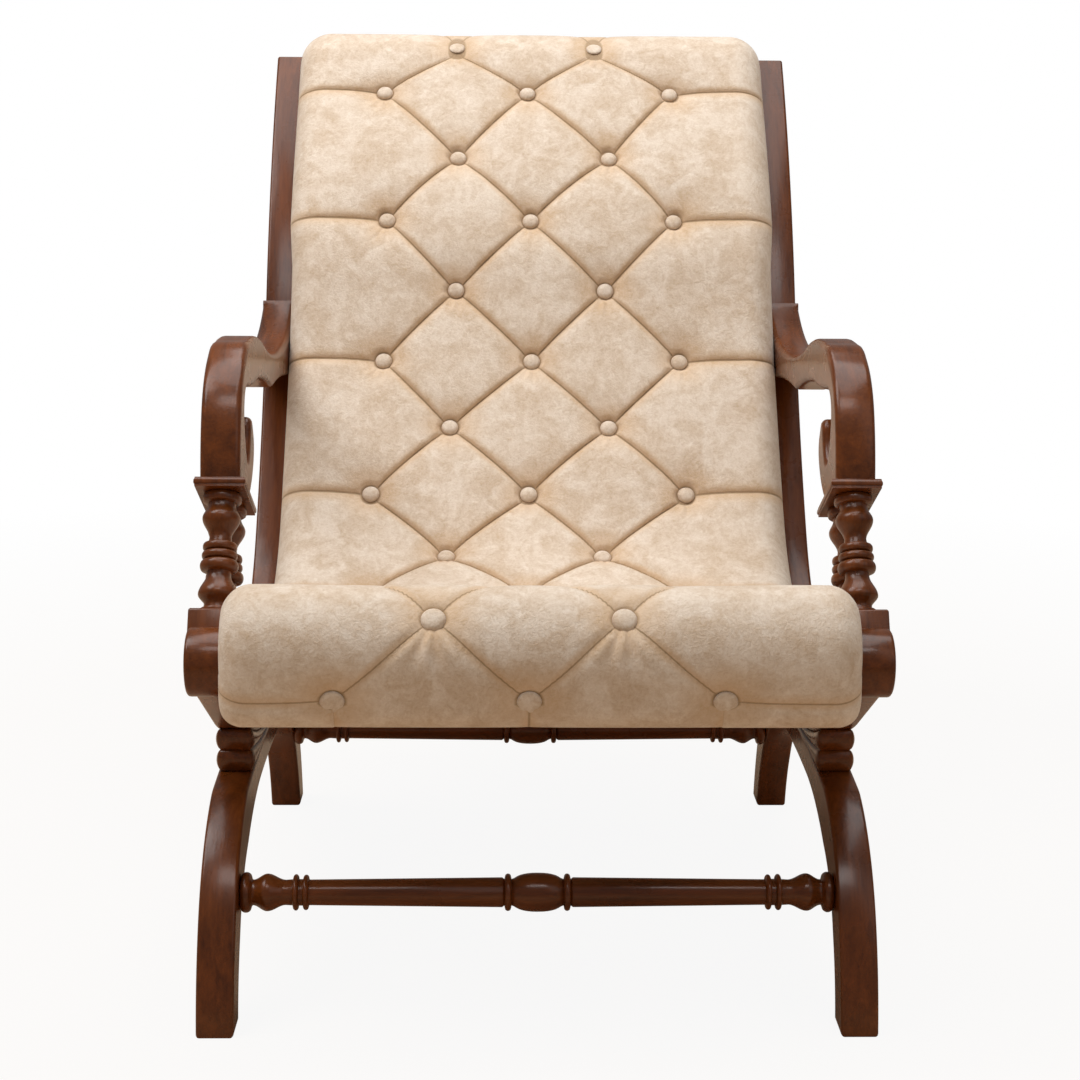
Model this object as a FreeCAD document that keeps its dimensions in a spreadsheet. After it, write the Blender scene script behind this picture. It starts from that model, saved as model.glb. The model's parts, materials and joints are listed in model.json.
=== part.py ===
"""Easy chair: two scrolled side frames, turned posts and stretchers, and a button-tufted pad.

Millimetres. X runs to the sitter's left, the chair faces -Y, Z is up from the floor.
Every side view below is drawn in the Y-Z plane, with Y measured from the middle of the leg arch.
"""

import FreeCAD, Part
import math
import os

import Sketcher
from FreeCAD import Placement, Rotation, Vector

SIZES = {
    # side frames
    "inner_half_width": 280.0,
    "frame_thickness": 35.0,
    "member_depth": 51.0,
    "fit_clearance": 0.2,
    "soft_clearance": 0.3,
    # seat rail and back stile, followed along their upper edge
    "rail_forward": 315.5,
    "rail_height": 366.0,
    "nose_set": 21.6,
    "nose_radius": 31.0,
    "seat_slope": 30.0,
    "seat_run": 188.0,
    "hollow_radius": 262.0,
    "hollow_exit": 52.0,
    "lumbar_radius": 1200.0,
    "lumbar_exit": 66.0,
    "shoulder_radius": 1120.0,
    "crest_slope": 50.5,
    "top_slope": 48.6,
    "stile_joint_slope": 27.0,
    "stile_tongue_length": 30.0,
    "stile_tongue_depth": 24.0,
    # leg arch
    "foot_forward": 329.0,
    "foot_depth": 38.0,
    "knee_forward": 290.0,
    "knee_height": 108.0,
    "calf_forward": 262.0,
    "calf_height": 72.0,
    "haunch_forward": 190.0,
    "haunch_height": 134.0,
    "crown_run": 185.0,
    "crown_radius": 1900.0,
    "crown_top": 198.0,
    "crown_thickness": 31.0,
    "flat_run": 80.0,
    "flat_drop": 2.0,
    "crown_tongue_length": 26.0,
    "crown_tongue_depth": 12.0,
    # waist block
    "waist_front": 145.0,
    "waist_rear": 122.0,
    "waist_width": 38.0,
    "bead_depth": 4.5,
    # arm post: plinth, twin spindles and cap, square to the seat rail
    "post_along": 82.0,
    "spindle_spacing": 38.0,
    "plinth_width": 46.0,
    "plinth_length": 88.0,
    "plinth_height": 24.0,
    "plinth_round": 2.5,
    "spindle_height": 117.5,
    "spindle_radius": 18.5,
    "tenon_radius": 7.0,
    "tenon_depth": 12.0,
    "cap_tenon_depth": 6.0,
    "cap_width": 48.5,
    "cap_length": 90.0,
    "cap_cove": 5.0,
    "cap_flare": 3.0,
    "cap_edge": 3.5,
    "cap_shoulder": 2.5,
    "cap_set_back": 6.0,
    # arm
    "arm_foot_length": 64.0,
    "arm_tail": 88.0,
    "arm_tongue_length": 14.0,
    "arm_tongue_depth": 46.0,
    # stretchers
    "stretcher_forward": 252.0,
    "stretcher_height": 111.0,
    "stretcher_radius": 18.5,
    "stretcher_tenon_radius": 9.0,
    "stretcher_tenon_length": 16.0,
    # cross rails, battens, webbing and lining
    "support_inset": 12.0,
    "webbing_thickness": 2.0,
    "webbing_width": 45.0,
    "webbing_pitch": 68.0,
    "batten_width": 20.0,
    "batten_depth": 12.0,
    "cross_rail_width": 50.0,
    "cross_rail_thickness": 14.5,
    "cross_tenon_width": 34.0,
    "cross_tenon_thickness": 8.0,
    "cross_tenon_length": 15.0,
    "front_rail_set": 20.0,
    "front_rail_radius": 22.0,
    "front_rail_flat": 14.0,
    "front_tenon_width": 26.0,
    "front_tenon_depth": 22.0,
    "crest_tail": 30.0,
    "crest_tenon_width": 18.0,
    "crest_tenon_length": 34.0,
    "seat_cross_slope": 24.0,
    "lumbar_rail_slope": 45.0,
    "lining_thickness": 1.5,
    # tufted pad
    "pad_edge_round": 30.0,
    "pad_start_thickness": 50.0,
    "pad_front_thickness": 44.0,
    "pad_roll_thickness": 33.0,
    "pad_end_thickness": 14.0,
    "pad_seat_thickness": 92.0,
    "pad_lumbar_thickness": 106.0,
    "pad_back_thickness": 92.0,
    "pad_crest_thickness": 61.0,
    "pad_lift": 0.8,
    "chord_turn": 42.0,
    "tuft_rise": 82.0,
    "tuft_reach": 30.0,
    "tuft_depth": 14.0,
    "pleat_depth": 9.0,
    "button_radius": 11.0,
    "button_rise": 4.5,
    # how far a cut reaches past the face that it cuts, and points nearer than this are one
    "overrun": 10.0,
    "merge": 0.00001,
}

# Turned profiles: place along the axis and radius, as shares of the length and of the greatest
# radius.
SPINDLE_SHARES = (
    (0.00, 0.82), (0.04, 0.80), (0.06, 0.66), (0.11, 0.93), (0.19, 1.00), (0.25, 0.88),
    (0.33, 0.60), (0.39, 0.97), (0.44, 0.93), (0.47, 0.78), (0.52, 0.88), (0.57, 0.84),
    (0.62, 0.56), (0.74, 0.90), (0.81, 0.96), (0.87, 0.84), (0.91, 0.72), (0.94, 0.97),
    (1.00, 0.93),
)
STRETCHER_SHARES = (
    (0.030, 0.98), (0.086, 0.68), (0.090, 0.92), (0.112, 0.92), (0.118, 0.76), (0.766, 0.65),
    (0.774, 0.88), (0.798, 0.88), (0.809, 0.94), (0.832, 0.90), (0.850, 0.65), (0.890, 0.88),
    (0.918, 0.96), (0.944, 0.88), (0.966, 0.66), (1.000, 1.03),
)
BEAD_BOW_SHARE = 0.19

# Arm outline between its front foot corner and the stile: shares of the arm's length and rise,
# then the bow of the stretch to the next point as a share of that stretch, to the left if positive.
ARM_FRONT_SHARE = -0.04
ARM_TAIL_SHARE = -0.02
ARM_TOP_SHARES = (
    (0.035, 0.535, -0.10), (0.137, 0.948, -0.09), (0.211, 1.008, -0.06),
    (0.421, 0.870, 0.05), (0.750, 0.672, 0.07),
)
ARM_UNDER_SHARES = (
    (0.820, 0.345, 0.02), (0.539, 0.405, 0.03), (0.307, 0.621, -0.03),
    (0.144, 0.664, 0.24), (0.092, 0.422, 0.06), (0.112, 0.100, 0.40),
    (0.137, 0.090, 0.08), (0.166, 0.335, -0.42), (0.205, 0.300, -0.16),
    (0.212, 0.020, -0.12),
)

# The bows of the front leg's edges, each a share of its own length, to the left if positive.
SHIN_BOW_SHARE = 0.05
KNEE_BOW_SHARE = 0.09
CROWN_BOW_SHARE = -0.006
HAUNCH_BOW_SHARE = -0.05
CALF_BOW_SHARE = -0.10
INSTEP_BOW_SHARE = -0.05

# Rows of buttons, from the front roll to the crest. Each anchor is a row and its place as a share
# of the support line, and the rows between two anchors are even on the pad's face.
ROW_ANCHORS = (
    (0, 0.0064), (1, 0.0315), (7, 0.4087), (10, 0.6466), (13, 0.851), (14, 0.9267), (15, 0.9724),
)
CREASE_ROW = 6
FACE_STEPS = 600
# The pitch of the columns of buttons, as a share of half the pad's width.
PITCH_SHARE = 0.597

# The pad's thickness around its front roll is full between these shares of the turn.
ROLL_FULL_SHARES = (0.20, 0.62)
CREST_SHARE = 0.93
# Where the fading puffs in front of the first row and behind the last one have their sections.
FRONT_SHARES = (0.0, 0.5)
REAR_SHARES = (0.25, 0.5, 0.75, 1.0)
# Points along each rounded side of a section: shares of the rounding across and down.
SIDE_SHARES = ((0.0, 1.0), (0.13, 0.5), (0.5, 0.13))
# A section's greatest rounding and button depth, as shares of its thickness.
ROUNDING_SHARE = 0.62
DEPTH_SHARE = 0.32
# Flat sides around a turned piece and around a button, and columns of points in a tuft's width.
TURNED_SIDES = 16
BUTTON_SIDES = 8
TUFT_STEPS = 8
BUTTON_TOP_SHARE = 0.6
SEATING_STEPS = 4


class Size:
    """A size with its value and the expression that ties it to the cells of the sheet."""

    def __init__(self, value, text):
        self.value = value
        self.text = text

    def __add__(self, other):
        other = sized(other)
        return Size(self.value + other.value, f"({self.text} + {other.text})")

    def __sub__(self, other):
        other = sized(other)
        return Size(self.value - other.value, f"({self.text} - {other.text})")

    def __mul__(self, other):
        other = sized(other)
        return Size(self.value * other.value, f"({self.text} * {other.text})")

    def __truediv__(self, other):
        other = sized(other)
        return Size(self.value / other.value, f"({self.text} / {other.text})")

    def __radd__(self, other):
        return sized(other) + self

    def __rsub__(self, other):
        return sized(other) - self

    def __rmul__(self, other):
        return sized(other) * self

    def __neg__(self):
        return Size(-self.value, f"(0 - {self.text})")


def sized(number):
    """A plain number as a Size, so that the two mix in a sum."""
    return number if isinstance(number, Size) else Size(float(number), f"({float(number)!r})")


def sine(angle):
    return Size(math.sin(math.radians(angle.value)), f"sin({angle.text})")


def cosine(angle):
    return Size(math.cos(math.radians(angle.value)), f"cos({angle.text})")


def root(square):
    return Size(math.sqrt(square.value), f"sqrt({square.text})")


def spread(start, end):
    """The distance between two points."""
    across = end[0] - start[0]
    up = end[1] - start[1]
    return root(across * across + up * up)


def ahead(point, heading, distance):
    """The point a distance further along a heading."""
    return (point[0] + cosine(heading) * distance, point[1] + sine(heading) * distance)


def aside(point, heading, distance):
    """The point a distance to the left of a heading."""
    return (point[0] - sine(heading) * distance, point[1] + cosine(heading) * distance)


def around(point, heading, radius, new_heading):
    """The point reached by turning left with a radius, or right where the radius is negative."""
    return (point[0] + radius * (sine(new_heading) - sine(heading)),
            point[1] + radius * (cosine(heading) - cosine(new_heading)))


def straight(point):
    return (point, None)


def left_turn(point, radius):
    return (point, (radius, True))


def right_turn(point, radius):
    return (point, (radius, False))


def bowed(point, following, share):
    """A corner whose edge to the following corner bows to its left by a share of its length."""
    if not share:
        return straight(point)
    chord = spread(point, following)
    radius = chord * (1 / (8 * abs(share)) + abs(share) / 2)
    return (point, (radius, share < 0))


def mirrored(outline):
    """An outline flipped front to back, with every turn the other way."""
    flipped = []
    for point, bend in outline:
        turned = None if bend is None else (bend[0], not bend[1])
        flipped.append(((-point[0], point[1]), turned))
    return flipped


def edge_between(start, end, bend):
    """The sketch edge between two corners, and which of its ends is the first and the last."""
    first = Vector(start[0].value, start[1].value, 0)
    last = Vector(end[0].value, end[1].value, 0)
    if bend is None:
        return Part.LineSegment(first, last), 1, 2
    radius, is_left = bend
    chord = last - first
    half = chord.Length / 2
    height = math.sqrt(max(radius.value ** 2 - half ** 2, 0.0))
    normal = Vector(-chord.y, chord.x, 0).normalize()
    centre = (first + last) * 0.5 + normal * (height if is_left else -height)
    starts, ends = (first, last) if is_left else (last, first)
    begin = math.atan2(starts.y - centre.y, starts.x - centre.x)
    finish = math.atan2(ends.y - centre.y, ends.x - centre.x)
    if finish < begin:
        finish += 2 * math.pi
    circle = Part.Circle(centre, Vector(0, 0, 1), radius.value)
    arc = Part.ArcOfCircle(circle, begin, finish)
    return arc, (1 if is_left else 2), (2 if is_left else 1)


def draw(sketch, outline):
    """Adds a closed outline and ties each corner and each radius in it to the sheet."""
    edges = []
    for place, (corner, bend) in enumerate(outline):
        following = outline[(place + 1) % len(outline)][0]
        geometry, first, last = edge_between(corner, following, bend)
        edges.append((sketch.addGeometry(geometry, False), first, last))
    ties = []
    constraints = []
    for place, (corner, bend) in enumerate(outline):
        edge, first, _ = edges[place]
        before, _, last = edges[place - 1]
        constraints.append(Sketcher.Constraint("Coincident", before, last, edge, first))
        constraints.append(Sketcher.Constraint("DistanceX", edge, first, corner[0].value))
        ties.append((len(constraints) - 1, corner[0]))
        constraints.append(Sketcher.Constraint("DistanceY", edge, first, corner[1].value))
        ties.append((len(constraints) - 1, corner[1]))
        if bend is not None:
            constraints.append(Sketcher.Constraint("Radius", edge, bend[0].value))
            ties.append((len(constraints) - 1, bend[0]))
    numbers = sketch.addConstraint(constraints)
    for place, size in ties:
        sketch.setExpression(f"Constraints[{numbers[place]}]", size.text)


class Piece:
    """One sub-part: a body with its sketches and features, and its place in the chair."""

    def __init__(self, name):
        self.body = DOC.addObject("PartDesign::Body", name)
        self.body.Label = name
        PIECES.append(self.body)

    def sketch(self, role, *outlines):
        sheet = self.body.newObject("Sketcher::SketchObject", "Outline")
        origin = [plane for plane in self.body.Origin.OriginFeatures if plane.Role == role]
        sheet.AttachmentSupport = [(origin[0], "")]
        sheet.MapMode = "FlatFace"
        for outline in outlines:
            draw(sheet, outline)
        return sheet

    def pad(self, role, outline, length):
        """Material to both sides of the plane, over a whole length."""
        feature = self.body.newObject("PartDesign::Pad", "Pad")
        feature.Profile = self.sketch(role, outline)
        feature.SideType = "Symmetric"
        feature.setExpression("Length", length.text)
        return feature

    def rise(self, role, outline, height):
        """Material on the plane's positive side only."""
        feature = self.body.newObject("PartDesign::Pad", "Rise")
        feature.Profile = self.sketch(role, outline)
        feature.SideType = "One side"
        feature.setExpression("Length", height.text)
        return feature

    def cut_through(self, role, *outlines):
        feature = self.body.newObject("PartDesign::Pocket", "Cut")
        feature.Profile = self.sketch(role, *outlines)
        feature.SideType = "Symmetric"
        feature.Type = "ThroughAll"
        return feature

    def cut_middle(self, role, outline, length):
        """A slot to both sides of the plane, over a whole length."""
        feature = self.body.newObject("PartDesign::Pocket", "Slot")
        feature.Profile = self.sketch(role, outline)
        feature.SideType = "Symmetric"
        feature.setExpression("Length", length.text)
        return feature

    def cut_side(self, outline, length, side):
        """A blind mortise from the middle plane out to the face that looks at the other frame."""
        feature = self.body.newObject("PartDesign::Pocket", "Mortise")
        feature.Profile = self.sketch("YZ_Plane", outline)
        feature.SideType = "One side"
        feature.Reversed = side < 0
        feature.setExpression("Length", length.text)
        return feature

    def put(self, across, along, up, tilt=None):
        place_at(self.body, across, along, up, tilt)


def place_at(feature, across, along, up, tilt=None):
    """Places a body or shape: its origin, tied to the sheet, and its tilt about the X axis."""
    angle = 0.0 if tilt is None else tilt.value
    base = Vector(across.value, along.value, up.value)
    feature.Placement = Placement(base, Rotation(Vector(1, 0, 0), angle))
    feature.setExpression("Placement.Base.x", across.text)
    feature.setExpression("Placement.Base.y", along.text)
    feature.setExpression("Placement.Base.z", up.text)


def skinned(rings):
    """A solid through rings of points: flat sides between the rings, and a flat face on each end.

    A side with four corners in one plane is one face, and any other is two triangles.
    """
    faces = [Part.Face(Part.makePolygon(ring + ring[:1])) for ring in (rings[0], rings[-1])]
    for low, high in zip(rings, rings[1:]):
        for number, corner in enumerate(low):
            after = (number + 1) % len(low)
            quad = [corner, low[after], high[after], high[number]]
            faces += flat_faces([point for place, point in enumerate(quad)
                                 if point.distanceToPoint(quad[place - 1]) > S.merge.value])
    solid = Part.Solid(Part.makeShell(faces))
    if solid.Volume < 0:
        solid.reverse()
    return solid


def flat_faces(corners):
    """One face where the corners lie in a plane, or else two triangles on the shorter diagonal."""
    if len(corners) < 3:
        return []
    normal = (corners[1] - corners[0]).cross(corners[2] - corners[0])
    off = abs(normal.normalize().dot(corners[-1] - corners[0]))
    if off < S.merge.value:
        return [Part.Face(Part.makePolygon(corners + corners[:1]))]
    if corners[1].distanceToPoint(corners[3]) < corners[0].distanceToPoint(corners[2]):
        corners = corners[1:] + corners[:1]
    halves = ([corners[0], corners[1], corners[2]], [corners[0], corners[2], corners[3]])
    return [Part.Face(Part.makePolygon(half + half[:1])) for half in halves]


def round_ring(radius, height, sides):
    """A ring of points about the Z axis."""
    turns = [math.tau * (number + 0.5) / sides for number in range(sides)]
    return [Vector(radius * math.cos(turn), radius * math.sin(turn), height) for turn in turns]


def turned_solid(profile):
    """A turned piece about the Z axis, from its radii and heights."""
    return skinned([round_ring(radius.value, height.value, TURNED_SIDES) for radius, height in profile])


def rectangle(centre, heading, length, depth):
    """A rectangle about a centre, with its length along a heading."""
    corners = []
    for along, across in ((-1, -1), (1, -1), (1, 1), (-1, 1)):
        point = ahead(centre, heading, length * (along / 2))
        corners.append(straight(aside(point, heading, depth * (across / 2))))
    return corners


class Edge:
    """The upper edge of the seat rail and back stile: its corners and slopes, front to top."""

    def __init__(self):
        self.start_slope = -S.seat_slope
        self.start = aside((-S.rail_forward, S.rail_height), self.start_slope, S.member_depth / 2)
        self.hollow_start = ahead(self.start, self.start_slope, S.seat_run)
        self.hollow_end = self.in_hollow(S.hollow_exit)
        self.lumbar_end = self.in_lumbar(S.lumbar_exit)
        self.crest = self.in_shoulder(S.crest_slope)
        self.top = self.in_shoulder(S.top_slope)

    def in_hollow(self, slope):
        return around(self.hollow_start, self.start_slope, S.hollow_radius, slope)

    def in_lumbar(self, slope):
        return around(self.hollow_end, S.hollow_exit, S.lumbar_radius, slope)

    def in_shoulder(self, slope):
        return around(self.lumbar_end, S.lumbar_exit, -S.shoulder_radius, slope)


def band(edge, inset, depth, front, rear):
    """A strip that follows the upper edge at an inset, from one named stretch to another."""
    hollow = S.hollow_radius + inset
    lumbar = S.lumbar_radius + inset
    shoulder = S.shoulder_radius - inset
    stops = (
        (edge.hollow_start, edge.start_slope, hollow, True),
        (edge.hollow_end, S.hollow_exit, lumbar, True),
        (edge.lumbar_end, S.lumbar_exit, shoulder, False),
    )
    first = ahead(edge.start, edge.start_slope, front)
    last = edge.in_shoulder(rear)
    outline = [straight(aside(first, edge.start_slope, -inset))]
    for point, slope, radius, is_left in stops:
        outline.append((aside(point, slope, -inset), (radius, is_left)))
    outline.append(straight(aside(last, rear, -inset)))
    below = inset + depth
    outline.append(left_turn(aside(last, rear, -below), shoulder - depth))
    outline.append(right_turn(aside(edge.lumbar_end, S.lumbar_exit, -below), lumbar + depth))
    outline.append(right_turn(aside(edge.hollow_end, S.hollow_exit, -below), hollow + depth))
    outline.append(straight(aside(edge.hollow_start, edge.start_slope, -below)))
    outline.append(straight(aside(first, edge.start_slope, -below)))
    return outline


def leg_outline():
    """The front leg from its foot to the middle of the crown."""
    crown_drop = S.crown_radius - root(S.crown_radius * S.crown_radius - S.crown_run * S.crown_run)
    foot_front = (-S.foot_forward, sized(0))
    knee = (-S.knee_forward, S.knee_height)
    shoulder = (-S.crown_run, S.crown_top - crown_drop)
    crown = (sized(0), S.crown_top)
    under = (sized(0), S.crown_top - S.crown_thickness)
    flat = (-S.flat_run, S.crown_top - S.crown_thickness - S.flat_drop)
    haunch = (-S.haunch_forward, S.haunch_height)
    calf = (-S.calf_forward, S.calf_height)
    foot_back = (S.foot_depth - S.foot_forward, sized(0))
    return [
        bowed(foot_front, knee, SHIN_BOW_SHARE),
        bowed(knee, shoulder, KNEE_BOW_SHARE),
        right_turn(shoulder, S.crown_radius),
        straight(crown),
        bowed(under, flat, CROWN_BOW_SHARE),
        bowed(flat, haunch, HAUNCH_BOW_SHARE),
        bowed(haunch, calf, CALF_BOW_SHARE),
        bowed(calf, foot_back, INSTEP_BOW_SHARE),
        straight(foot_back),
    ]


def crown_tongue(clearance):
    """The tongue that the front leg sets into the rear one at the crown."""
    length = S.crown_tongue_length + clearance
    depth = S.crown_tongue_depth + clearance * 2
    centre = (length / 2, S.crown_top - S.crown_thickness / 2)
    return rectangle(centre, sized(0), length, depth)


def stretcher_bore(way):
    """The round socket of a stretcher, seen from the side."""
    centre = (S.stretcher_forward * way, S.stretcher_height)
    return centre, S.stretcher_tenon_radius + S.fit_clearance


def bore(piece, centre, radius, side):
    """A blind round bore from the middle plane out to the face that looks inwards."""
    feature = piece.body.newObject("PartDesign::Pocket", "Bore")
    sketch = piece.sketch("YZ_Plane")
    circle = Part.Circle(Vector(centre[0].value, centre[1].value, 0), Vector(0, 0, 1), radius.value)
    number = sketch.addGeometry(circle, False)
    sketch.addConstraint(Sketcher.Constraint("DistanceX", number, 3, centre[0].value))
    sketch.addConstraint(Sketcher.Constraint("DistanceY", number, 3, centre[1].value))
    sketch.addConstraint(Sketcher.Constraint("Radius", number, radius.value))
    sketch.setExpression("Constraints[0]", centre[0].text)
    sketch.setExpression("Constraints[1]", centre[1].text)
    sketch.setExpression("Constraints[2]", radius.text)
    feature.Profile = sketch
    feature.SideType = "One side"
    feature.Reversed = side < 0
    feature.setExpression("Length", S.frame_thickness.text)
    return feature


def make_legs(name, side, across):
    """The arched legs: the front one has the tongue, the rear one its slot."""
    tongue_width = S.frame_thickness / 3
    front = Piece(f"{name}_front_leg")
    front.pad("YZ_Plane", leg_outline(), S.frame_thickness)
    front.pad("YZ_Plane", crown_tongue(sized(0)), tongue_width)
    bore(front, *stretcher_bore(-1), side)
    front.put(across, S_SHIFT, sized(0))
    rear = Piece(f"{name}_rear_leg")
    rear.pad("YZ_Plane", mirrored(leg_outline()), S.frame_thickness)
    rear.cut_middle("YZ_Plane", crown_tongue(S.fit_clearance), tongue_width + S.fit_clearance * 2)
    bore(rear, *stretcher_bore(1), side)
    rear.put(across, S_SHIFT, sized(0))


def bead_cuts(face, way, low, high):
    """What is cut away in front of a face to leave two half-round beads between two heights."""
    middle = (low + high) / 2
    depth = face - S.bead_depth * way
    beyond = face + S.overrun * way
    upper = (depth, middle)
    beads = [
        bowed((depth, low), upper, -BEAD_BOW_SHARE * way),
        bowed(upper, (depth, high), -BEAD_BOW_SHARE * way),
        straight((depth, high)),
        straight((beyond, high)),
        straight((beyond, low)),
    ]
    return beads


def make_waist(name, across, edge):
    """The block between the crown of the legs and the seat rail, with beads on four sides."""
    under_radius = S.hollow_radius + S.member_depth
    centre_y = edge.hollow_start[0] - S.hollow_radius * sine(edge.start_slope)
    centre_z = edge.hollow_start[1] + S.hollow_radius * cosine(edge.start_slope)

    def rail_under(place):
        off = place - centre_y
        return centre_z - root(under_radius * under_radius - off * off)

    def crown_over(place):
        return S.crown_top - S.crown_radius + root(S.crown_radius * S.crown_radius - place * place)

    front = -S.waist_front
    rear = S.waist_rear
    outline = [
        right_turn((front, crown_over(front)), S.crown_radius),
        straight((rear, crown_over(rear))),
        right_turn((rear, rail_under(rear)), under_radius),
        straight((front, rail_under(front))),
    ]
    piece = Piece(f"{name}_waist_block")
    piece.pad("YZ_Plane", outline, S.waist_width)
    low = crown_over(front)
    high = rail_under(front)
    half = S.waist_width / 2
    piece.cut_through("YZ_Plane", bead_cuts(front, -1, low, high), bead_cuts(rear, 1, low, high))
    piece.cut_through("XZ_Plane", bead_cuts(-half, -1, low, high), bead_cuts(half, 1, low, high))
    piece.put(across, S_SHIFT, sized(0))


def post_point(edge, along, up):
    """A point by its place along the seat rail and its height square above it."""
    on_rail = ahead(edge.start, edge.start_slope, along)
    return aside(on_rail, edge.start_slope, up)


def spindle_places():
    return (S.post_along - S.spindle_spacing / 2, S.post_along + S.spindle_spacing / 2)


def cross_rail_centre(edge_point, slope):
    """The centre of a cross rail's board under a point of the upper edge."""
    inset = (S.support_inset + S.webbing_thickness + S.batten_depth + S.soft_clearance
             + S.cross_rail_thickness / 2)
    return aside(edge_point, slope, -inset)


def cross_mortise(edge_point, slope):
    centre = cross_rail_centre(edge_point, slope)
    slack = S.fit_clearance * 2
    return rectangle(centre, slope, S.cross_tenon_width + slack, S.cross_tenon_thickness + slack)


def front_rail_centre(edge):
    """The centre of the front rail's round nose."""
    inset = lining_inset() - S.soft_clearance - S.front_rail_radius
    on_rail = ahead(edge.start, edge.start_slope, S.front_rail_set)
    return aside(on_rail, edge.start_slope, -inset)


def lining_inset():
    return (S.support_inset + S.webbing_thickness + S.batten_depth + S.soft_clearance * 4
            + S.cross_rail_thickness)


def crest_radius():
    """Half the crest rail's thickness: it fills the depth between the webbing and the lining."""
    return (lining_inset() - S.soft_clearance - S.support_inset) / 2


def crest_centre(edge):
    return aside(edge.crest, S.crest_slope, -(S.support_inset + crest_radius()))


def front_mortise(edge, slack):
    centre = ahead(front_rail_centre(edge), edge.start_slope, S.front_rail_flat / 4)
    return rectangle(centre, edge.start_slope, S.front_tenon_width + slack, S.front_tenon_depth + slack)


def crest_mortise(edge, slack):
    centre = ahead(crest_centre(edge), S.crest_slope, -S.crest_tail / 3)
    return rectangle(centre, S.crest_slope, S.crest_tenon_length + slack, S.crest_tenon_width + slack)


def make_seat_rail(name, side, across, edge):
    """The seat rail from its round nose, deeper than the rail, to the joint with the stile."""
    joint = edge.in_hollow(S.stile_joint_slope)
    slope = edge.start_slope
    under_radius = S.hollow_radius + S.member_depth
    brow = ahead(edge.start, slope, S.nose_set)
    tip = ahead(aside(brow, slope, -S.nose_radius), slope, -S.nose_radius)
    below = S.member_depth - S.nose_radius
    reach = root(S.nose_radius * S.nose_radius - below * below)
    chin = aside(ahead(brow, slope, reach), slope, -S.member_depth)
    outline = [
        straight(brow),
        left_turn(edge.hollow_start, S.hollow_radius),
        straight(joint),
        right_turn(aside(joint, S.stile_joint_slope, -S.member_depth), under_radius),
        straight(aside(edge.hollow_start, slope, -S.member_depth)),
        right_turn(chin, S.nose_radius),
        right_turn(tip, S.nose_radius),
    ]
    piece = Piece(f"{name}_seat_rail")
    piece.pad("YZ_Plane", outline, S.frame_thickness)
    slack = S.fit_clearance
    piece.cut_middle("YZ_Plane", stile_tongue(edge, slack), S.frame_thickness / 3 + slack * 2)
    piece.cut_side(front_mortise(edge, slack * 2), S.frame_thickness, side)
    piece.cut_side(cross_mortise(edge.in_hollow(-S.seat_cross_slope), -S.seat_cross_slope),
                   S.frame_thickness, side)
    piece.put(across, S_SHIFT, sized(0))


def stile_tongue(edge, slack):
    """The tongue at the stile's foot, along the slope of the joint."""
    joint = edge.in_hollow(S.stile_joint_slope)
    middle = aside(joint, S.stile_joint_slope, -S.member_depth / 2)
    centre = ahead(middle, S.stile_joint_slope, -(S.stile_tongue_length + slack) / 2)
    return rectangle(centre, S.stile_joint_slope, S.stile_tongue_length + slack,
                     S.stile_tongue_depth + slack * 2)


def arm_tail_slope():
    """The slope of the stile where the lower edge of the arm meets it."""
    return S.lumbar_exit - S.arm_tail / S.lumbar_radius * math.degrees(1)


def arm_tongue(edge, slack):
    """The tongue at the arm's tail, from inside the arm square into the front of the stile."""
    slope = (S.lumbar_exit + arm_tail_slope()) / 2
    length = S.arm_tongue_length * 2 + slack
    centre = aside(edge.in_lumbar(slope), slope, -slack / 2)
    return rectangle(centre, slope, S.arm_tongue_depth + slack * 2, length)


def make_stile(name, side, across, edge):
    """The back stile: hollow, lumbar curve and rolled-back shoulder."""
    joint = edge.in_hollow(S.stile_joint_slope)
    depth = S.member_depth
    crown = S.member_depth / 4
    top_rear = aside(edge.top, S.top_slope, -depth)
    outline = [
        left_turn(joint, S.hollow_radius),
        left_turn(edge.hollow_end, S.lumbar_radius),
        right_turn(edge.lumbar_end, S.shoulder_radius),
        bowed(edge.top, top_rear, crown.value / depth.value),
        left_turn(top_rear, S.shoulder_radius - depth),
        right_turn(aside(edge.lumbar_end, S.lumbar_exit, -depth), S.lumbar_radius + depth),
        right_turn(aside(edge.hollow_end, S.hollow_exit, -depth), S.hollow_radius + depth),
        straight(aside(joint, S.stile_joint_slope, -depth)),
    ]
    piece = Piece(f"{name}_back_stile")
    piece.pad("YZ_Plane", outline, S.frame_thickness)
    piece.pad("YZ_Plane", stile_tongue(edge, sized(0)), S.frame_thickness / 3)
    slack = S.fit_clearance
    piece.cut_middle("YZ_Plane", arm_tongue(edge, slack), S.frame_thickness / 3 + slack * 2)
    piece.cut_side(cross_mortise(edge.in_hollow(S.lumbar_rail_slope), S.lumbar_rail_slope),
                   S.frame_thickness, side)
    piece.cut_side(cross_mortise(edge.lumbar_end, S.lumbar_exit), S.frame_thickness, side)
    piece.cut_side(crest_mortise(edge, slack * 2), S.frame_thickness, side)
    piece.put(across, S_SHIFT, sized(0))


def cap_height():
    return S.cap_flare + S.cap_edge + S.cap_shoulder


def arm_base():
    return S.plinth_height + S.spindle_height + cap_height()


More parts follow.
